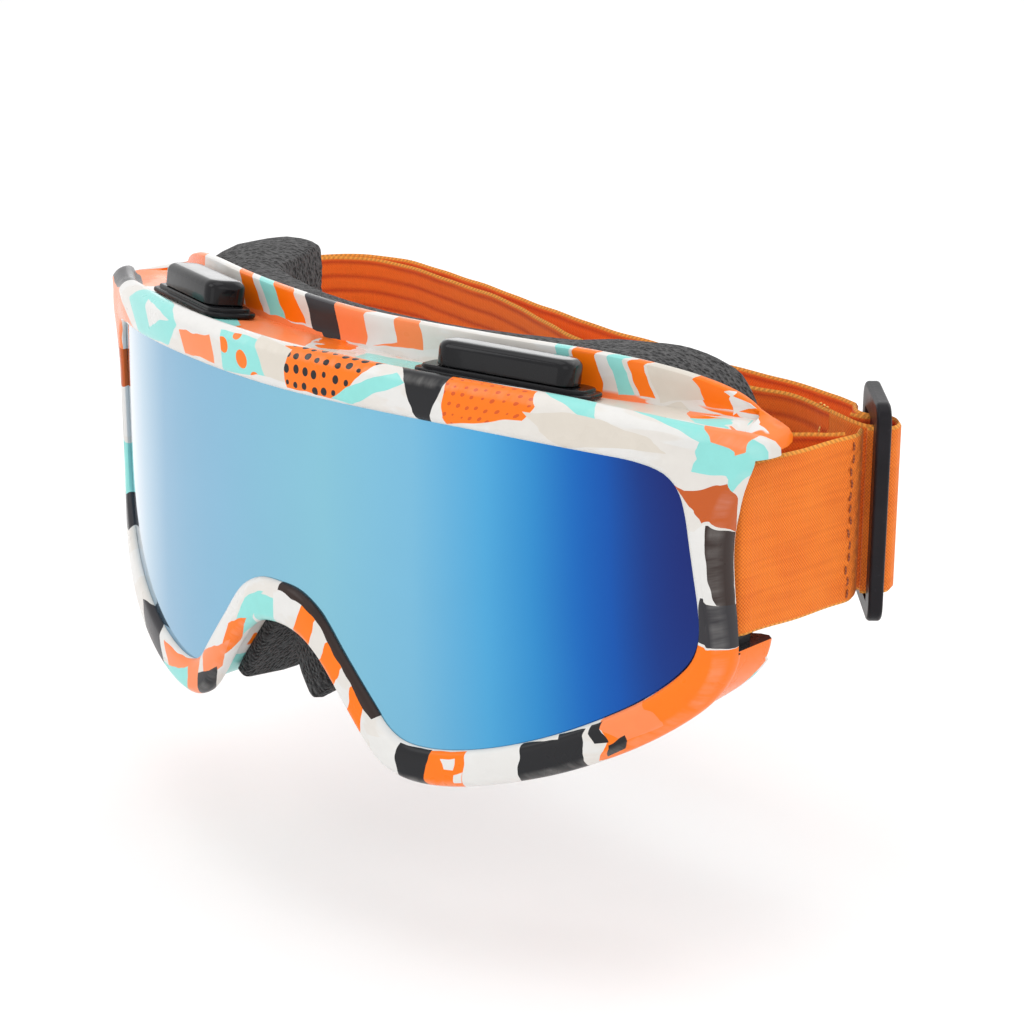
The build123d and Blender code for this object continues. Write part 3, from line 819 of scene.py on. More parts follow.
# ------------------------------------------------------------------ colour patches of the shell: (colour, corners round and across the band, mm)
PATCHES = [
    ("orange", [(-92.0, 6.0), (-92.0, 27.0), (-62.0, 29.0), (-62.0, 12.5)]),
    ("dark", [(-88.0, 6.5), (-79.0, 15.0), (-62.0, 14.0), (-66.0, 8.0)]),
    ("salmon", [(-88.0, 1.0), (-88.0, 6.5), (-66.0, 8.0), (-60.0, 2.0)]),
    ("orange_dots", [(3.5, 9.6), (5.0, 2.0), (19.6, 2.0), (27.0, 12.0), (16.0, 12.8)]),
    ("orange", [(67.6, 29.0), (69.5, 39.0), (90.0, 39.0), (90.0, 28.5)]),
    ("orange", [(-44.0, 29.0), (-39.0, 22.0), (-46.0, 17.0), (-58.0, 17.1), (-60.0, 29.0)]),
    ("white", [(-110.0, -1.0), (-110.0, 12.0), (-98.0, 12.0), (-98.0, -1.0)]),
    ("rust", [(-98.0, -1.0), (-98.0, 12.0), (-88.0, 12.0), (-88.0, -1.0)]),
    ("mint", [(-124.0, -1.0), (-122.0, 12.0), (-110.0, 10.0), (-112.0, -1.0)]),
    ("dark", [(-132.0, -1.0), (-130.0, 13.0), (-122.0, 12.0), (-124.0, -1.0)]),
    ("white", [(-146.0, -1.0), (-144.0, 13.0), (-136.0, 13.0), (-138.0, -1.0)]),
    ("orange", [(192.0, 13.0), (186.5, 13.0), (190.0, -1.0), (194.5, -1.0)]),
    ("orange", [(203.5, 13.0), (197.0, 13.0), (199.5, -1.0), (204.5, -1.0)]),
    ("orange", [(214.0, 13.0), (208.0, 13.0), (209.5, -1.0), (214.5, -1.0)]),
    ("brown", [(186.0, -1.0), (186.0, 2.2), (222.0, 2.2), (222.0, -1.0)]),
    ("mint", [(-222.8, 12.0), (-212.0, 12.0), (-216.0, 4.0), (-222.8, 4.0)]),
    ("orange", [(108.2, 11.4), (108.2, 27.0), (150.0, 27.0), (146.0, 12.0)]),
    ("rust", [(84.0, 12.0), (84.0, 22.0), (96.0, 22.0), (96.0, 12.0)]),
    ("orange", [(-150.0, 14.0), (-150.0, 27.0), (-108.0, 27.0), (-112.0, 13.0)]),
    ("dark", [(150.0, 14.0), (150.0, 24.0), (166.0, 26.0), (164.0, 14.0)]),
    ("mint", [(-190.0, 14.0), (-188.0, 27.0), (-168.0, 27.0), (-166.0, 14.0)]),
    ("mint", [(14.0, 15.0), (10.0, 24.0), (22.0, 27.0), (28.0, 16.0)]),
    ("mint", [(-34.0, 15.0), (-36.0, 22.0), (-26.0, 27.0), (-20.0, 16.0)]),
    ("orange", [(56.0, 14.0), (62.0, 26.0), (72.0, 22.0), (66.0, 14.0)]),
    ("mint", [(-112.0, 30.0), (-112.0, 39.0), (-98.0, 39.0), (-100.0, 30.0)]),
    ("orange", [(-78.0, 30.0), (-78.0, 39.0), (-60.0, 39.0), (-56.0, 30.0)]),
    ("dark", [(98.0, 30.0), (96.0, 39.0), (108.0, 39.0), (110.0, 30.0)]),
    ("orange", [(126.0, 30.0), (124.0, 39.0), (150.0, 39.0), (148.0, 30.0)]),
    ("salmon", [(-150.0, 30.0), (-154.0, 39.0), (-128.0, 39.0), (-126.0, 30.0)]),
    ("orange", [(-196.0, 30.0), (-198.0, 39.0), (-178.0, 39.0), (-176.0, 30.0)]),
    ("mint", [(176.0, 30.0), (178.0, 39.0), (196.0, 39.0), (194.0, 30.0)]),
    ("mint", [(-55.5, 6.3), (-47.9, 14.0), (-29.3, 8.2), (-37.3, 2.1), (-55.5, 1.0)]),
    ("white", [(-45.9, 8.5), (-35.0, 6.8), (-45.9, 4.0)]),
    ("white", [(-40.6, 14.0), (-23.0, 10.4), (-21.9, 5.9), (-30.5, 5.9)]),
    ("salmon", [(-30.5, 5.9), (-18.4, 6.8), (-17.8, 2.6), (-29.3, 2.1)]),
    ("mint_dots", [(-15.0, 8.5), (-2.9, 9.2), (-0.6, 3.1), (-14.4, 1.0)]),
    ("cream", [(-5.2, 11.4), (5.8, 8.8), (4.6, 3.1), (-1.2, 3.1)]),
    ("mint", [(16.7, 2.1), (29.9, 8.8), (32.8, 6.8), (21.9, 1.6)]),
    ("black", [(28.2, 13.4), (41.2, 13.4), (38.4, -1.3), (35.0, 4.5)]),
    ("orange_faint", [(39.5, 11.1), (53.2, 10.8), (54.6, 4.5), (42.2, 1.0)]),
    ("mint", [(53.7, 11.4), (59.7, 13.4), (63.0, 4.5)]),
    ("cream", [(53.2, 5.9), (62.5, 7.3), (76.8, 4.0), (63.5, 1.3)]),
    ("mint", [(64.9, 11.1), (70.9, 11.4), (83.9, 5.9), (90.0, 7.8), (81.5, 3.5)]),
    ("salmon", [(70.9, 13.4), (79.0, 13.4), (80.7, 6.3), (75.5, 7.3)]),
    ("rust", [(83.1, 0.6), (90.0, 9.2), (95.2, 11.7), (92.6, 4.5)]),
    ("white", [(91.9, 1.6), (94.5, 8.2), (107.1, 8.2), (105.6, 1.0)]),
    ("brown", [(93.7, 5.9), (95.2, 11.7), (108.2, 11.4), (107.1, 8.2)]),
    ("dark", [(106.0, 2.1), (108.2, 13.7), (115.4, 11.7), (115.7, -1.0)]),
    ("orange", [(138.0, 2.6), (116.5, -1.0), (115.4, 11.7), (123.9, 13.4), (132.2, 13.1), (139.2, 12.4), (144.2, 8.8)]),
    ("salmon", [(137.6, -1.6), (128.4, -1.6), (132.6, 7.3), (139.2, 6.8)]),
    ("black", [(146.7, 0.4), (141.7, 1.6), (144.2, 4.9), (146.7, 4.5)]),
    ("black", [(140.5, 1.3), (137.6, 1.6), (140.5, 5.4), (142.2, 4.9)]),
    ("black", [(140.9, 5.9), (137.6, 5.9), (139.7, 8.2), (142.2, 8.5)]),
    ("black", [(153.7, 0.4), (143.0, 2.6), (148.0, 12.0), (157.6, 10.0)]),
    ("white", [(165.7, -1.6), (153.7, 0.4), (157.6, 12.0), (167.2, 8.8)]),
    ("orange", [(173.1, 0.7), (165.3, 0.4), (166.8, 11.2), (173.4, 9.2)]),
    ("white", [(170.5, 2.6), (167.9, 2.1), (168.3, 4.5), (169.8, 4.5)]),
    ("white", [(167.9, 5.4), (166.0, 4.9), (166.4, 7.3), (167.9, 7.3)]),
    ("black", [(179.9, 1.3), (172.8, 0.4), (173.1, 11.2), (178.2, 10.5)]),
    ("white", [(185.8, 5.4), (179.9, 1.3), (178.0, 10.5), (183.8, 10.2)]),
    ("mint", [(-211.0, 3.5), (-219.3, 3.5), (-208.2, 11.4), (-200.4, 8.8)]),
    ("orange", [(-201.9, 4.5), (-209.8, 7.3), (-200.4, 10.0), (-194.0, 8.2)]),
    ("salmon", [(-186.1, 1.0), (-199.8, 7.8), (-190.5, 9.2), (-184.5, 6.8)]),
    ("black", [(-180.5, 2.6), (-190.0, 8.2), (-180.8, 12.8), (-177.8, 10.8)]),
    ("salmon", [(-165.3, 2.1), (-185.5, -1.0), (-178.5, 11.2), (-172.5, 9.8)]),
    ("mint", [(-164.9, 7.3), (-178.0, 2.1), (-176.3, 10.5), (-172.2, 9.8)]),
    ("dark", [(-150.4, 2.6), (-160.7, -2.0), (-168.3, 9.8), (-158.0, 9.3)]),
    ("orange", [(-41.2, 38.0), (-35.0, 38.0), (-27.6, 28.0), (-35.0, 28.0)]),
    ("white", [(-35.0, 38.0), (-32.2, 38.0), (-24.7, 28.0), (-27.6, 28.0)]),
    ("mint", [(-32.2, 38.0), (-27.0, 38.0), (-20.1, 29.0), (-24.7, 28.0)]),
    ("orange", [(-27.0, 38.0), (-20.1, 38.0), (-13.2, 29.5), (-20.1, 29.0)]),
    ("dark", [(-15.0, 38.0), (-5.8, 38.0), (-2.3, 28.0), (-10.9, 28.0)]),
    ("salmon", [(-5.8, 38.0), (16.7, 38.0), (19.0, 30.4), (-2.3, 28.0)]),
    ("white", [(4.0, 34.5), (5.8, 38.0), (10.9, 37.5), (12.7, 30.8), (4.6, 28.5)]),
    ("mint", [(45.4, 38.0), (48.4, 38.0), (49.4, 28.0), (46.9, 28.0)]),
    ("orange", [(48.9, 38.0), (53.2, 38.0), (53.2, 28.5), (49.9, 28.0)]),
    ("mint", [(55.5, 38.0), (58.3, 38.0), (57.9, 29.0), (55.1, 28.5)]),
    ("orange", [(59.3, 38.0), (62.1, 38.0), (60.7, 29.0), (58.8, 29.0)]),
    ("cream", [(62.5, 38.0), (69.5, 38.0), (68.1, 30.4), (61.1, 28.5)]),
    ("white", [(75.5, 37.5), (75.9, 31.7), (70.9, 28.0)]),
    ("cream", [(0.0, 16.7), (8.6, 23.1), (16.7, 13.7), (4.6, 13.7)]),
    ("salmon", [(-39.0, 29.0), (-8.6, 29.0), (4.0, 13.7), (-13.8, 13.7)]),
    ("cream", [(53.2, 25.0), (63.9, 29.0), (70.0, 16.2), (60.2, 13.7)]),
]


# ------------------------------------------------------------------ materials
COL = {
    "white": (0.70, 0.69, 0.67), "cream": (0.64, 0.59, 0.52), "orange": (0.90, 0.175, 0.004),
    "salmon": (0.88, 0.23, 0.075), "mint": (0.26, 0.66, 0.62), "dark": (0.030, 0.028, 0.032),
    "black": (0.012, 0.012, 0.014), "rust": (0.50, 0.095, 0.015), "brown": (0.030, 0.017, 0.014),
}


def hull(pts):
    p = sorted(set(pts))

    def half(seq):
        h = []
        for q in seq:
            while len(h) > 1 and (h[-1][0] - h[-2][0]) * (q[1] - h[-2][1]) - (h[-1][1] - h[-2][1]) * (q[0] - h[-2][0]) <= 0:
                h.pop()
            h.append(q)
        return h[:-1]
    return half(p) + half(p[::-1])


def shell_print():
    M = Mat("shell_print")
    uv3 = M.vadd(M.scale(M.uv(), (100, 100, 0)), (0, 0, 1))      # (round, across, 1) in mm
    obj = M.obj()
    a, b, _ = M.xyz(uv3)
    # a little waver so that the print's edges are not ruled lines
    wob = M.node("ShaderNodeVectorMath", operation="MULTIPLY_ADD")
    n = M.node("ShaderNodeTexNoise")
    M.put(n.inputs["Vector"], uv3)
    n.inputs["Scale"].default_value = 0.16
    n.inputs["Detail"].default_value = 1.5
    M.put(wob.inputs[0], n.outputs["Color"])
    wob.inputs[1].default_value = (3.0, 1.8, 0)
    M.put(wob.inputs[2], M.vadd(uv3, (-1.5, -0.9, 0)))
    w = wob.outputs[0]
    # ground: white with soft marbled streaks, stronger on the top
    streak = M.noise(M.scale(w, (0.06, 0.16, 0.0)), 1.0, 3.0, 0.55)
    streak2 = M.noise(M.vadd(M.scale(w, (0.085, 0.13, 0.0)), (9.3, 4.1, 0)), 1.0, 2.0, 0.5)
    base = M.mix(M.span(streak, 0.46, 0.50), COL["white"], (0.68, 0.65, 0.61))
    on_top = M.math("MULTIPLY", M.span(b, 12.6, 13.4), M.span(b, 29.2, 28.6))
    base = M.mix(M.math("MULTIPLY", M.span(streak2, 0.545, 0.555), on_top), base, COL["orange"])
    base = M.mix(M.math("MULTIPLY", M.span(streak, 0.595, 0.605), on_top), base, COL["salmon"])
    base = M.mix(M.math("MULTIPLY", M.span(streak2, 0.375, 0.365), on_top), base, COL["mint"])
    col = base
    dots = M.math("LESS_THAN", M.cells(M.scale(uv3, (0.40, 0.40, 0)), 1.0, rand=0.25), 0.30)
    dots2 = M.math("LESS_THAN", M.cells(M.scale(uv3, (0.20, 0.24, 0)), 1.0, rand=0.7), 0.36)
    dots3 = M.math("LESS_THAN", M.cells(M.scale(uv3, (0.62, 0.62, 0)), 1.0, rand=0.2), 0.22)
    ink = {
        "orange_dots": M.mix(dots, COL["orange"], COL["black"]),
        "mint_dots": M.mix(dots2, COL["mint"], COL["orange"]),
        "orange_faint": M.mix(dots3, COL["orange"], (0.62, 0.085, 0.01)),
    }
    for name, pts in PATCHES:
        h = hull([tuple(p) for p in pts])
        mask = None
        k = len(h)
        for i in range(k):
            (x0, y0_), (x1, y1_) = h[i], h[(i + 1) % k]
            ln = math.hypot(x1 - x0, y1_ - y0_)
            nx, ny = -(y1_ - y0_) / ln, (x1 - x0) / ln
            d = M.dot(w, (nx, ny, -(nx * x0 + ny * y0_)))
            mask = d if mask is None else M.math("MINIMUM", mask, d)
        col = M.mix(M.math("GREATER_THAN", mask, 0.0), col, ink.get(name) or COL[name])
    # inside of the shell and the cut recesses are coloured near-black; the same near-black on the narrow lip strip at
    # the lens edge is painted shade, a painted shadow gap round the lens
    inside = M.math("MAXIMUM", M.math("GREATER_THAN", b, 46.2), M.math("LESS_THAN", b, -0.55))
    col = M.mix(inside, col, (0.030, 0.029, 0.031))
    # faint ink variation and rubbed edges of the crest
    tone = M.noise(obj, 260.0, 4.0, 0.6)
    col = M.mix(M.span(tone, 0.3, 0.75, 0.0, 0.10), col, (0.55, 0.5, 0.46), "MULTIPLY")
    crest = M.math("MULTIPLY", M.span(b, 6.6, 7.4), M.span(b, 9.4, 8.4))
    rub = M.math("MULTIPLY", crest, M.span(M.noise(M.scale(uv3, (0.5, 0.1, 0)), 1.0, 3.0, 0.6), 0.35, 0.7))
    col = M.mix(M.math("MULTIPLY", rub, 0.10), col, (0.93, 0.90, 0.86))
    fine = M.noise(obj, 900.0, 2.0, 0.5)
    orange_peel = M.noise(obj, 150.0, 2.0, 0.5)
    rough = M.span(M.noise(obj, 55.0, 4.0, 0.6), 0.3, 0.7, 0.24, 0.36)
    h = M.math("MULTIPLY_ADD", orange_peel, 1.0, M.math("MULTIPLY", fine, 0.25))
    M.set(Base_Color=col, Roughness=rough, Coat_Weight=0.10, Coat_Roughness=0.10,
          Normal=M.bump(h, 0.16, 0.0004))
    M.b.inputs["Specular IOR Level"].default_value = 0.20
    return M.m


def lens_mirror():
    M = Mat("lens_mirror")
    obj = M.obj()
    f = M.facing(0.5)
    x, y, z = M.xyz(obj)
    drift = M.noise(M.scale(obj, (1, 1, 1)), 9.0, 2.0, 0.45)
    f2 = M.math("ADD", f, M.math("MULTIPLY_ADD", drift, 0.020, -0.010))
    painted_reflection_pos = M.math("ADD", f2, M.math("MULTIPLY", z, 0.5))
    # The base colour is partly the coating's own blue and partly painted reflection: the ramp runs from deep navy where
    # the lens faces the view to light blue and near-white towards grazing angles, standing in for reflected bright
    # surroundings; a faint coating drift and a shift with height move the ramp position.
    col = M.ramp(painted_reflection_pos, [
        (0.046, (0.018, 0.016, 0.105)), (0.060, (0.011, 0.024, 0.155)), (0.070, (0.008, 0.080, 0.36)),
        (0.080, (0.010, 0.120, 0.43)), (0.100, (0.030, 0.23, 0.52)), (0.128, (0.070, 0.33, 0.59)),
        (0.190, (0.165, 0.42, 0.60)), (0.30, (0.205, 0.46, 0.575)), (0.50, (0.205, 0.415, 0.575)),
        (0.68, (0.190, 0.380, 0.550)), (0.80, (0.32, 0.49, 0.63)), (0.90, (0.52, 0.61, 0.71))])
    wear = M.noise(obj, 420.0, 3.0, 0.6)
    rough = M.span(wear, 0.35, 0.75, 0.045, 0.085)
    M.set(Base_Color=col, Metallic=0.92, Roughness=rough, Coat_Weight=0.10, Coat_Roughness=0.04,
          Normal=M.bump(M.noise(obj, 26.0, 1.0, 0.4), 0.05, 0.0006))
    return M.m


def lens_clear():
    M = Mat("lens_clear")
    obj = M.obj()
    haze = M.noise(obj, 60.0, 4.0, 0.6)
    col = M.mix(haze, (0.035, 0.045, 0.060), (0.055, 0.066, 0.082))
    M.set(Base_Color=col, Roughness=M.span(haze, 0.3, 0.7, 0.10, 0.18), Coat_Weight=0.6, Coat_Roughness=0.05,
          Normal=M.bump(M.noise(obj, 500.0, 2.0, 0.5), 0.05, 0.0002))
    return M.m


def foam(name, lo, hi, size=900.0, deep=0.0009):
    M = Mat(name)
    obj = M.obj()
    pore = M.cells(obj, size, rand=1.0)
    pore2 = M.cells(M.vadd(obj, (0.013, 0.027, 0.041)), size * 0.55, rand=1.0)
    big = M.noise(obj, 90.0, 4.0, 0.65)
    grit = M.noise(obj, size * 1.3, 3.0, 0.7)
    mask = M.math("MULTIPLY", M.span(pore, 0.12, 0.55), M.span(pore2, 0.08, 0.42))
    col = M.mix(mask, tuple(c * 0.35 for c in lo), lo)
    col = M.mix(M.math("MULTIPLY", M.span(grit, 0.42, 0.72), mask), col, hi)
    col = M.mix(M.span(big, 0.3, 0.75, 0.0, 0.35), col, tuple(c * 0.7 for c in lo))
    h = M.math("ADD", M.math("MULTIPLY", mask, 0.7), M.math("MULTIPLY", grit, 0.45))
    M.set(Base_Color=col, Roughness=M.span(grit, 0.2, 0.8, 0.86, 0.98), Normal=M.bump(h, 0.85, deep))
    M.b.inputs["Specular IOR Level"].default_value = 0.18
    M.b.inputs["Sheen Weight"].default_value = 0.12
    M.b.inputs["Sheen Roughness"].default_value = 0.6
    return M.m


def black_plastic(name, base, lo, hi, coat, grain, depth):
    M = Mat(name)
    obj = M.obj()
    n1 = M.noise(obj, grain, 3.0, 0.55)
    n2 = M.noise(obj, 45.0, 4.0, 0.6)
    col = M.mix(M.span(n2, 0.3, 0.75), base, tuple(c * 1.7 + 0.003 for c in base))
    scratch = M.noise(M.scale(obj, (60.0, 900.0, 900.0)), 1.0, 2.0, 0.5)
    col = M.mix(M.span(scratch, 0.68, 0.74, 0.0, 0.14), col, tuple(c * 4 + 0.03 for c in base))
    M.set(Base_Color=col, Roughness=M.span(n2, 0.3, 0.7, lo, hi), Normal=M.bump(n1, 0.35, depth))
    M.b.inputs["Specular IOR Level"].default_value = 0.10
    M.b.inputs["Coat Weight"].default_value = coat
    M.b.inputs["Coat Roughness"].default_value = 0.05
    return M.m


def webbing(name, outer, outer2, inner, inner2, gold, width=35.0, pitch=0.62):
    """Elastic webbing: fine woven outer face, ribbed inner face, gold selvedges."""
    M = Mat(name)
    uv = M.scale(M.uv(), (100, 100, 0))
    obj = M.obj()
    u, v, _ = M.xyz(uv)
    back_ = M.math("GREATER_THAN", v, 50.0)
    vl = M.math("SUBTRACT", v, M.math("MULTIPLY", back_, 100.0))     # across the band from its middle, mm
    k = 2 * math.pi / pitch
    jit = M.noise(uv, 0.35, 2.0, 0.5)
    uj = M.math("ADD", u, M.math("MULTIPLY", jit, 0.5))
    # plain weave: each crossing alternates between warp and weft
    su = M.math("SINE", M.math("MULTIPLY", uj, k))
    sv = M.math("SINE", M.math("MULTIPLY", vl, k * 0.80))
    weave = M.math("MULTIPLY_ADD", M.math("MULTIPLY", su, sv), 0.5, 0.5)
    weft = M.math("MULTIPLY_ADD", M.math("SINE", M.math("MULTIPLY", uj, k * 0.5)), 0.5, 0.5)
    fuzz = M.noise(uv, 3.6, 3.0, 0.7)
    slub = M.noise(M.scale(uv, (0.05, 0.9, 0)), 1.0, 3.0, 0.6)
    wide = M.noise(uv, 0.09, 2.0, 0.5)
    co = M.mix(M.span(weave, 0.15, 0.85), outer2, outer)
    co = M.mix(M.span(slub, 0.40, 0.68, 0.0, 0.45), co, outer2)
    co = M.mix(M.span(wide, 0.35, 0.7, 0.0, 0.25), co, tuple(min(1, c * 1.25 + 0.01) for c in outer))
    rib = M.math("ABSOLUTE", M.math("SINE", M.math("MULTIPLY_ADD", vl, math.pi * 9 / (width - 2.6), math.pi * 4.5)))
    # The inner face is painted red and dark red, a shaded copy of the orange outer face: painted shade of the face
    # turned from the light. The dark red falls in the rib grooves, painted shade in the grooves.
    ci = M.mix(M.span(rib, 0.05, 0.75), inner2, inner)
    ci = M.mix(M.span(weave, 0.1, 0.9, 0.28, 0.0), ci, inner2)
    ci = M.mix(M.span(slub, 0.45, 0.7, 0.0, 0.25), ci, tuple(min(1, c * 1.2 + 0.01) for c in inner))
    col = M.mix(back_, co, ci)
    edge = M.span(M.math("ABSOLUTE", vl), width / 2 - 0.75, width / 2 - 0.5)
    twist = M.math("MULTIPLY_ADD", M.math("SINE", M.math("MULTIPLY_ADD", u, 5.2, M.math("MULTIPLY", vl, 3.0))), 0.5, 0.5)
    gold_ = M.mix(twist, tuple(c * 0.62 for c in gold), gold)
    col = M.mix(edge, col, gold_)
    col = M.mix(M.span(fuzz, 0.3, 0.75, 0.0, 0.08), col, (0.95, 0.55, 0.28))
    h = M.math("ADD", M.math("MULTIPLY", weave, 0.6), M.math("MULTIPLY", weft, 0.3))
    h = M.math("ADD", h, M.math("MULTIPLY", fuzz, 0.35))
    h = M.math("ADD", h, M.math("MULTIPLY", M.math("MULTIPLY", twist, edge), 0.8))
    M.set(Base_Color=col, Roughness=M.span(fuzz, 0.2, 0.8, 0.70, 0.90), Normal=M.bump(h, 0.55, 0.00022))
    M.b.inputs["Specular IOR Level"].default_value = 0.25
    M.b.inputs["Sheen Weight"].default_value = 0.10
    M.b.inputs["Sheen Roughness"].default_value = 0.45
    M.b.inputs["Sheen Tint"].default_value = (1.0, 0.72, 0.5, 1)
    return M.m


def thread(name, c1, c2):
    M = Mat(name)
    obj = M.obj()
    x, y, z = M.xyz(obj)
    tw = M.math("MULTIPLY_ADD", M.math("SINE", M.math("MULTIPLY_ADD", z, 9000.0, M.math("MULTIPLY", x, 7000.0))), 0.5, 0.5)
    n = M.noise(obj, 1500.0, 2.0, 0.5)
    col = M.mix(tw, c1, c2)
    M.set(Base_Color=col, Roughness=M.span(n, 0.3, 0.7, 0.5, 0.75), Normal=M.bump(tw, 0.5, 0.0001))
    return M.m


m_shell = shell_print()
m_mirror = lens_mirror()
m_clear = lens_clear()
m_foam = foam("face_foam_cells", (0.040, 0.039, 0.040), (0.125, 0.122, 0.122), 950.0, 0.0010)
m_foam_n = foam("nose_foam_cells", (0.017, 0.017, 0.018), (0.060, 0.060, 0.062), 1000.0, 0.0010)
m_foam_l = foam("spacer_foam_cells", (0.34, 0.33, 0.31), (0.62, 0.60, 0.57), 900.0, 0.0008)
m_foam_v = foam("vent_foam_cells", (0.028, 0.028, 0.030), (0.09, 0.09, 0.09), 1100.0, 0.0008)
m_gloss = black_plastic("vent_gloss", (0.004, 0.004, 0.005), 0.12, 0.22, 0.30, 700.0, 0.00012)
m_gloss2 = black_plastic("vent_base_gloss", (0.005, 0.005, 0.006), 0.22, 0.34, 0.15, 700.0, 0.00015)
m_satin = black_plastic("slider_satin", (0.009, 0.008, 0.010), 0.30, 0.44, 0.06, 1400.0, 0.00018)
ORANGE = (0.95, 0.225, 0.014)
ORANGE2 = (0.62, 0.100, 0.004)
# RED and RED2 colour the webbing's inner face as a shaded copy of the orange: painted shade.
RED = (0.96, 0.155, 0.006)
RED2 = (0.60, 0.050, 0.001)
GOLD = (0.93, 0.36, 0.05)
m_web = webbing("webbing_weave", ORANGE, ORANGE2, RED, RED2, GOLD)
m_thread_d = thread("thread_rust", (0.16, 0.035, 0.012), (0.42, 0.095, 0.02))
m_thread_g = thread("thread_gold", (0.80, 0.36, 0.05), (0.95, 0.62, 0.18))


def floor_mat():
    M = Mat("floor_paper")
    obj = M.obj()
    n = M.noise(obj, 18.0, 4.0, 0.6)
    M.set(Base_Color=M.mix(M.span(n, 0.3, 0.7), (0.93, 0.93, 0.93), (0.95, 0.95, 0.95)), Roughness=0.85)
    return M.m


# ------------------------------------------------------------------ floor
flo = mesh_piece("floor", [(-4000, -4000, -90), (4000, -4000, -90), (4000, 4000, -90), (-4000, 4000, -90)], [(0, 1, 2, 3)],
                 mats=[floor_mat()], smooth=False)


# ------------------------------------------------------------------ pieces: shell and lenses
v_, f_, uv_ = frame_mesh()
shell = mesh_piece("frame_shell", v_, f_, uvs=uv_, mats=[m_shell])
outward(shell)
cuts, bars = [], []
for s_ in (1, -1):
    xa, xb = sorted((s_ * 79.5, s_ * 112))
    cuts.append(block("cut", xa, xb, 36.9, 92, -17.0, 22.6))
    plan = [(84.6, 33.9), (88.6, 36.6), (92.0, 39.2), (111, 56), (111, 91), (84.6, 91)]
    rings_ = [[(s_ * px_, py_, zz_) for px_, py_ in plan] for zz_ in (-16.95, 22.55)]
    vv_, ff_ = loft(rings_)
    wedge = mesh_piece("cut", vv_, ff_, uvs=np.tile([(0.0, -0.5)], (sum(len(f) for f in ff_), 1)))
    outward(wedge)
    cuts.append(wedge)
    xa, xb = sorted((s_ * 84.1, s_ * 86.9))
    bars.append(block("bar", xa, xb, 40.1, 45.6, -18.6, 24.2, bevel=1.1, seg=4))
    # window under each vent
    o_, xd_, yd_, nz_ = vent_frame(s_)
    q_ = rounded_rect(26.0, 6.0, 2.9)
    rings_ = [[tuple(o_ + xd_ * p[0] + yd_ * p[1] + nz_ * h) for p in q_] for h in (-6.0, 2.0)]
    vv_, ff_ = loft(rings_)
    cutv = mesh_piece("cut", vv_, ff_, uvs=np.tile([(0.0, -0.5)], (sum(len(f) for f in ff_), 1)))
    outward(cutv)
    cuts.append(cutv)
boolean(shell, merged(cuts), "DIFFERENCE")
boolean(shell, merged(bars), "UNION")
shell.data.validate()
shell.data.update()
edges_sharp(shell, 38)
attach(shell, "goggle_body")
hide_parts("frame")

lens = plate("lens_shield", off(LOOPS["LENS"], 1.5), 0.0, 1.2, mats=[m_mirror])
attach(lens, "goggle_body")
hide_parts("lens_outer")

lens2 = plate("lens_liner", LOOPS["LENS_IN"], 3.05, 3.7, step=3.2, mats=[m_clear])
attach(lens2, "goggle_body")
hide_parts("lens_inner")


def ring_piece(name, outer, inner, y_front, y_back, mats, rnd=0.6, wav=0.0):
    """Closed band between two outlines and two depths, with rounded edges."""
    rr = [
        (off(outer, -rnd), y_front), (off(outer, -rnd * 0.3), y_front + rnd * 0.3), (outer, y_front + rnd),
        (outer, y_back - rnd), (off(outer, -rnd * 0.3), y_back - rnd * 0.3), (off(outer, -rnd), y_back),
        (off(inner, rnd), y_back), (off(inner, rnd * 0.3), y_back - rnd * 0.3), (inner, y_back - rnd),
        (inner, y_front + rnd), (off(inner, rnd * 0.3), y_front + rnd * 0.3), (off(inner, rnd), y_front)]
    rings = [full_loop(h, y) for h, y in rr]
    vv, ff = loft(rings, caps=False, close_rows=True)
    o = mesh_piece(name, vv, ff, mats=mats)
    outward(o)
    return o


LI = LOOPS["LENS_IN"]
spacer = ring_piece("lens_gasket", off(LI, -0.15), off(LI, -3.6), lens_y(LI[:, 0], 1.28), lens_y(LI[:, 0], 2.96), [m_foam_l], rnd=0.3)
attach(spacer, "goggle_body")
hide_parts("lens_spacer")

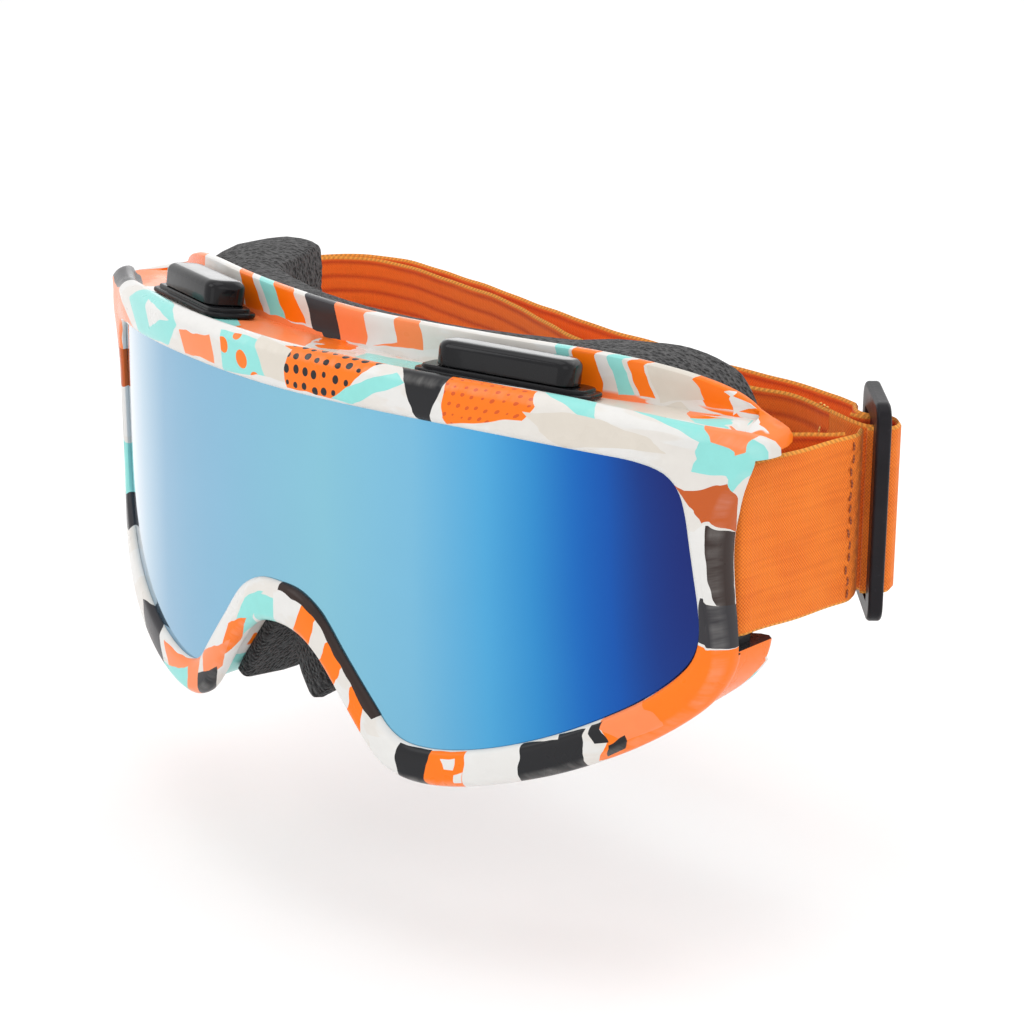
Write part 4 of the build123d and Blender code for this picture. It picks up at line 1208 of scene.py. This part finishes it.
# ------------------------------------------------------------------ vents
for s_, word in ((-1, "left"), (1, "right")):
    base_r = [(36.4, 10.9, 3.2, 0.05), (37.0, 11.5, 3.4, 0.3), (37.0, 11.5, 3.4, 0.8), (36.7, 11.2, 3.3, 1.03), (36.2, 10.7, 3.1, 1.1),
              (34.8, 9.9, 2.7, 1.1), (34.4, 9.5, 2.6, 1.25), (34.4, 9.5, 2.6, 1.6), (34.1, 9.2, 2.5, 1.82), (33.6, 8.7, 2.4, 1.9),
              (23.6, 5.4, 1.4, 1.9), (23.0, 4.8, 1.2, 1.7), (23.0, 4.8, 1.2, 0.05)]
    vb = pad_loft("vent_seat_" + word, s_, base_r, [m_gloss2], close_rows=True, caps=False)
    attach(vb, "goggle_body")
    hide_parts("vent_base_" + word)
    cap_r = [(22.0, 3.8, 0.8, 1.12), (22.6, 4.4, 1.0, 1.35), (22.6, 4.4, 1.0, 1.95), (27.9, 8.4, 2.9, 1.95), (28.5, 9.0, 3.1, 2.2),
             (28.5, 9.0, 3.1, 3.6)] + arc_rings(28.5, 9.0, 3.1, 5.35, 1.75) + [(23.6, 4.6, 1.5, 7.15), (20.0, 2.4, 1.0, 7.18)]
    vc = pad_loft("vent_cover_" + word, s_, cap_r, [m_gloss])
    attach(vc, "vent_cover_" + word)
    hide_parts("vent_cap_" + word)
    foam_r = [(24.6, 4.8, 2.2, -1.85), (25.4, 5.5, 2.4, -1.6), (25.4, 5.5, 2.4, -0.7), (24.6, 4.8, 2.2, -0.35), (15.0, 2.0, 0.9, -0.3)]
    vf = pad_loft("vent_mesh_" + word, s_, foam_r, [m_foam_v])
    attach(vf, "goggle_body")
    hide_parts("vent_foam_" + word)


# ------------------------------------------------------------------ face foam
def face_y(x):
    return 132.0 - np.sqrt(np.maximum(1e4 - np.minimum(np.abs(x), 76.4) ** 2, 1.0))


def foam_noise(p, amp):
    """Small uneven swelling of the foam, the same every run."""
    x, y, z = p[:, 0], p[:, 1], p[:, 2]
    return amp * (np.sin(x * 0.31 + 1.3) * np.sin(z * 0.27 + y * 0.2) + 0.6 * np.sin(x * 0.83 + z * 0.71 + 2.0) + 0.4 * np.sin(x * 1.7 - z * 1.3 + y))


FO = off(LOOPS["FLANGE"], -0.7)
FO = np.stack([np.minimum(FO[:, 0], 76.2), np.minimum(FO[:, 1], 36.4 - 7.0 * (np.maximum(FO[:, 0] - 59.0, 0) / 14.0) ** 2)], 1)
for _ in range(6):
    FO[1:-1] = FO[1:-1] * 0.5 + (FO[:-2] + FO[2:]) * 0.25
EI = off(LOOPS["EYE"], 0.15)


def foam_mesh(share):
    rows = []
    front_o = wall_y(FO[:, 0]) + 2.6
    front_i = wall_y(EI[:, 0]) + 2.6

    def rear(h):
        y = np.minimum(face_y(h[:, 0]), 61.0)
        u = np.clip((np.abs(h[:, 0]) - 43.0) / 9.0, 0, 1)
        w_ = np.clip((h[:, 1] - 12.0) / 14.0, 0, 1)
        w_ = w_ * w_ * (3 - 2 * w_) * u * u * (3 - 2 * u)
        return y + (60.5 - y) * w_ * share
    ro = 2.6
    rows.append((off(FO, -0.5), front_o))
    rows.append((FO, front_o + 0.4))
    for t in (0.2, 0.4, 0.6, 0.8):
        bulge = 0.35 * math.sin(math.pi * t)
        rows.append((off(FO, bulge), (front_o + 0.4) * (1 - t) + (rear(FO) - ro) * t))
    for k in range(7):
        a = math.pi / 2 * k / 6
        h = off(FO, -ro * (1 - math.cos(a)))
        rows.append((h, rear(h) - ro * (1 - math.sin(a))))
    A, B = off(FO, -ro), off(EI, ro)
    for t in (0.2, 0.4, 0.6, 0.8):
        h = mixl(A, B, t)
        rows.append((h, rear(h) + 0.35 * math.sin(math.pi * t)))
    for k in range(7):
        a = math.pi / 2 * k / 6
        h = off(EI, ro * (1 - math.sin(a)))
        rows.append((h, rear(h) - ro * (1 - math.cos(a))))
    for t in (0.3, 0.6):
        rows.append((off(EI, 0.3 * math.sin(math.pi * t)), (rear(EI) - ro) * (1 - t) + (front_i + 0.4) * t))
    rows.append((EI, front_i + 0.4))
    rows.append((off(EI, 0.5), front_i))
    return [full_loop(h, y) for h, y in rows]


def foam_piece():
    """The pad is pressed a little flatter at one temple than at the other."""
    full, part = foam_mesh(1.0), foam_mesh(0.22)
    rings = []
    for p, q in zip(full, part):
        g = np.clip(0.5 - p[:, 0] / 30.0, 0, 1)[:, None]
        rings.append(q + (p - q) * g)
    verts, faces = loft(rings, caps=False, close_rows=True)
    verts[:, 0] = np.clip(verts[:, 0], -76.75, 76.75)
    lift = np.clip((-verts[:, 0] - 44.0) / 10.0, 0, 1) * np.clip((verts[:, 1] - wall_y(verts[:, 0]) - 3.0) / 6.0, 0, 1)
    verts[:, 2] += 1.6 * lift * np.clip((verts[:, 2] - 20.0) / 12.0, 0, 1)
    n_ = foam_noise(verts, 0.10)
    near = np.clip((verts[:, 1] - (wall_y(verts[:, 0]) + 3.0)) / 3.0, 0, 1)
    verts[:, 1] += n_ * near
    verts[:, 2] += foam_noise(verts[:, [2, 0, 1]], 0.08) * near
    o = mesh_piece("foam_cushion", verts, faces, mats=[m_foam])
    outward(o)
    return o


cushion = foam_piece()
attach(cushion, "goggle_body")
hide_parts("face_foam")


# nose flap: a bent pad, widest at the top, with a blunt lower point
def nose_flap():
    out = []
    key = [(-10.6, -22.0), (0, -21.9), (10.6, -22.0), (11.3, -22.8), (11.3, -28.0), (10.9, -29.3), (1.5, -38.9), (0, -39.6), (-1.5, -38.9),
           (-10.9, -29.3), (-11.3, -28.0), (-11.3, -22.8)]
    key = np.array(key)
    c = catmull(key, closed=True, fine=6)
    ctr = np.array([0.0, -28.5])
    r_back = FLANGE_R - FLANGE_T - 0.2

    def yf(x):
        return FLANGE_Y + FLANGE_R - np.sqrt(r_back ** 2 - x ** 2)

    def yb(x):
        return 92.2 - np.sqrt(3600 - x ** 2)
    rings = []
    steps = [(0.0, 0), (0.35, 0), (0.7, 0), (0.9, 0), (0.96, 0.08), (0.99, 0.25), (1.0, 0.5), (0.99, 0.75), (0.96, 0.92), (0.9, 1), (0.7, 1), (0.35, 1), (0.0, 1)]
    for sc, dep in steps:
        q = ctr + (c - ctr) * max(sc, 0.02)
        low = np.clip((-26.0 - q[:, 1]) / 13.0, 0, 1)              # the front reaches forward and lower
        q = np.stack([q[:, 0] * (1 + 0.10 * low * (1 - dep)), q[:, 1] - 5.0 * low * (1 - dep)], 1)
        y = (9.0 + 0.03 * q[:, 0] ** 2) * (1 - dep) + (yb(q[:, 0]) - 0.2) * dep
        y = y + 0.12 * np.sin(q[:, 0] * 0.9) * np.sin(q[:, 1] * 0.7)
        rings.append(np.stack([q[:, 0], y, q[:, 1]], 1))
    vv, ff = loft(rings)
    o = mesh_piece("nose_flap", vv, ff, mats=[m_foam_n])
    outward(o)
    return o


def nose_side(s_):
    """Foam strip on the arch's inner wall, from near its top down to its foot."""
    T = catmull(np.array([(10.8, -25.6), (14.8, -29.6), (19.3, -35.8), (23.4, -41.8), (25.6, -45.2)]), fine=5)
    d = np.gradient(T, axis=0)
    d /= np.linalg.norm(d, axis=1)[:, None]
    nrm = np.stack([d[:, 1], -d[:, 0]], 1)
    q = rounded_rect(3.2, 18.0, 1.1, seg=4)
    rings = []
    m_ = len(T)
    for i in range(m_):
        e = 0.45 if i in (0, m_ - 1) else (0.85 if i in (1, m_ - 2) else 1.0)
        drop = 3.0 * i / (m_ - 1)
        rings.append([(s_ * (T[i, 0] + nrm[i, 0] * (1.0 + a * e)), 18.4 + b * e, T[i, 1] + nrm[i, 1] * (1.0 + a * e) - drop * (b / 18.0 + 0.5) * 0.5)
                      for a, b in q])
    vv, ff = loft(rings)
    o = mesh_piece("nose_side", vv, ff, mats=[m_foam_n])
    outward(o)
    return o


flap = merged([nose_flap(), nose_side(1), nose_side(-1)])
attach(flap, "goggle_body")
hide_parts("nose_foam")

# ------------------------------------------------------------------ strap
LO, LIN, FY = 88.0, 83.0, 39.0
fold = [(88.15, 44.0), (88.0, 41.2), (87.3, 39.5), (85.5, 38.9), (83.7, 39.5), (83.0, 41.2), (82.85, 45.0)]
front_leg = [(88.17, 44.3), (89.4, 55.0), (90.5, 65.0), (91.0, 71.0), adj(6.7, -3.7)]
tail = [(80.2, 51.0), (78.5, 56.5), (79.8, 60.2), (83.6, 64.0), (87.3, 67.4), (88.8, 70.0)]
turn_p = [adj(6.7, -2.5), adj(6.7, 0.5), adj(7.4, 2.8), adj(9.4, 4.0), adj(11.5, 4.3), adj(13.6, 4.0), adj(15.6, 2.8),
          adj(16.3, 0.5), adj(16.6, -1.4), adj(18.2, -2.75), adj(20.8, -3.1), adj(24.0, -2.9)]
outer_p = [(78.1, 88.12), (77.0, 88.5), (66.0, 91.8), (52.0, 92.8), (35.0, 93.4), (10.0, 96.6), (-27.0, 104.0), (-50.0, 108.6), (-65.0, 111.6),
           (-78.0, 113.0), (-89.0, 111.0), (-96.0, 104.6), (-97.6, 95.0), (-95.8, 80.0), (-92.6, 62.0), (-90.0, 50.0), (-88.2, 44.3)]
inner_p = [(77.3, 80.86), (75.4, 81.6), (70.8, 83.6), (63.5, 84.6), (53.5, 82.8), (28.0, 83.6), (2.5, 87.3), (-9.0, 91.6), (-22.0, 96.9),
           (-34.5, 101.0), (-49.0, 104.6), (-64.0, 107.8), (-77.0, 109.4), (-87.2, 107.6), (-93.0, 102.2), (-94.6, 94.0),
           (-92.6, 80.0), (-88.8, 62.0), (-84.6, 50.0), (-83.1, 45.4)]
loop_p = [(76.9, 81.0), (80.4, 79.6), (85.4, 77.7), adj(8.25, -2.0), adj(8.2, 0.0), adj(8.9, 1.65), adj(11.5, 2.1),
          adj(14.1, 1.65), adj(14.8, 0.0), adj(15.0, -2.2), (81.4, 81.9)]


def gathers(u, length, v):
    """Small uneven gathers where the band is sewn near its end."""
    t = np.clip((u - (length - 9.5)) / 2.0, 0, 1) * np.clip((length - 1.0 - u) / 2.0, 0, 1)
    inside = np.clip((16.3 - np.abs(v)) / 2.0, 0, 1)
    return 0.30 * t * inside * (np.sin(v * 3.1 + u * 1.6) * 0.6 + np.sin(v * 1.7 - u * 2.3) * 0.4)


strap1 = ribbon("strap_band_front", tail[::-1] + fold[::-1][:-1] + front_leg, [m_web], face=-1, ribs_in=9, step=0.6, pucker=gathers, soft=0.12,
                seed=0.4)
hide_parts("strap_front", "strap_fold_right")
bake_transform(strap1)
turn_r = ribbon("strap_return", turn_p, [m_web], face=-1, step=0.5, soft=0.0, seed=2.4)
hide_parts("strap_turn")
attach(turn_r, "adjuster")
outer_r = ribbon("strap_band_outer", outer_p + [(-x, y) for x, y in fold][1:], [m_web], face=-1, step=1.2, soft=0.55, seed=3.1)
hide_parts("strap_outer", "strap_fold_left")
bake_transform(outer_r)
inner_r = ribbon("strap_band_inner", inner_p, [m_web], face=-1, step=1.2, soft=0.35, seed=4.6)
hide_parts("strap_inner")
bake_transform(inner_r)
loop_r = ribbon("strap_keeper", loop_p, [m_web], t=0.9, face=-1, step=0.5, soft=0.0, seed=6.0)
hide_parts("strap_end_loop")
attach(loop_r, "adjuster")

# ------------------------------------------------------------------ threads
lx, ly = 91.0 - 90.5, 71.0 - 65.0
ln_ = math.hypot(lx, ly)
nx_, ny_ = ly / ln_, -lx / ln_
items = []
for k in range(13):
    zc = 2.8 - 17.5 + 2.2 + k * 2.55
    off_ = 0.35 * math.sin(k * 2.3)
    bx, by = 90.85 + nx_ * 0.92, 69.0 + ny_ * 0.92 + off_
    items.append(((bx, by - 0.25 * math.sin(k), zc - 0.95), (bx, by + 0.3 * math.cos(1.7 * k), zc + 0.95), 0.22, (nx_, ny_, 0), 0.10))
th1 = capsules("thread_front", items, [m_thread_d])
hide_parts("stitch_right")
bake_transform(th1)
items = []
for k in range(4):
    x0_ = 73.4 + 1.1 * (k % 2)
    y0_ = 81.15 - 0.45 * (k % 2)
    z0_ = 2.8 - 12 + k * 8
    items.append(((x0_, y0_, z0_ - 1.5), (x0_ + 0.3, y0_, z0_ + 1.5), 0.24, (-0.3, -0.95, 0), 0.10))
for k in range(3):
    items.append(((73.2 + 1.3 * k, 82.4 - 0.6 * k, 20.25), (74.0 + 1.3 * k, 82.0 - 0.6 * k, 20.45), 0.22, (0, 0, 1), 0.25))
th2 = capsules("thread_keeper", items, [m_thread_g])
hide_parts("stitch_loop")
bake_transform(th2)


# ------------------------------------------------------------------ slider
def give(node, mat):
    o = NODES[node]
    if not o.material_slots:
        o.data.materials.append(mat)
    for sl in o.material_slots:
        sl.material = mat


for nm_, mt_ in (("slider", m_satin), ("frame", m_shell), ("lens_outer", m_mirror), ("lens_inner", m_clear), ("lens_spacer", m_foam_l),
                 ("face_foam", m_foam), ("nose_foam", m_foam_n), ("stitch_right", m_thread_d), ("stitch_loop", m_thread_g)):
    give(nm_, mt_)
for nm_ in NODES:
    if nm_.startswith("strap_"):
        give(nm_, m_web)
    if nm_.startswith("vent_cap") or nm_.startswith("vent_base"):
        give(nm_, m_gloss)
    if nm_.startswith("vent_foam"):
        give(nm_, m_foam_v)

bpy.context.view_layer.update()
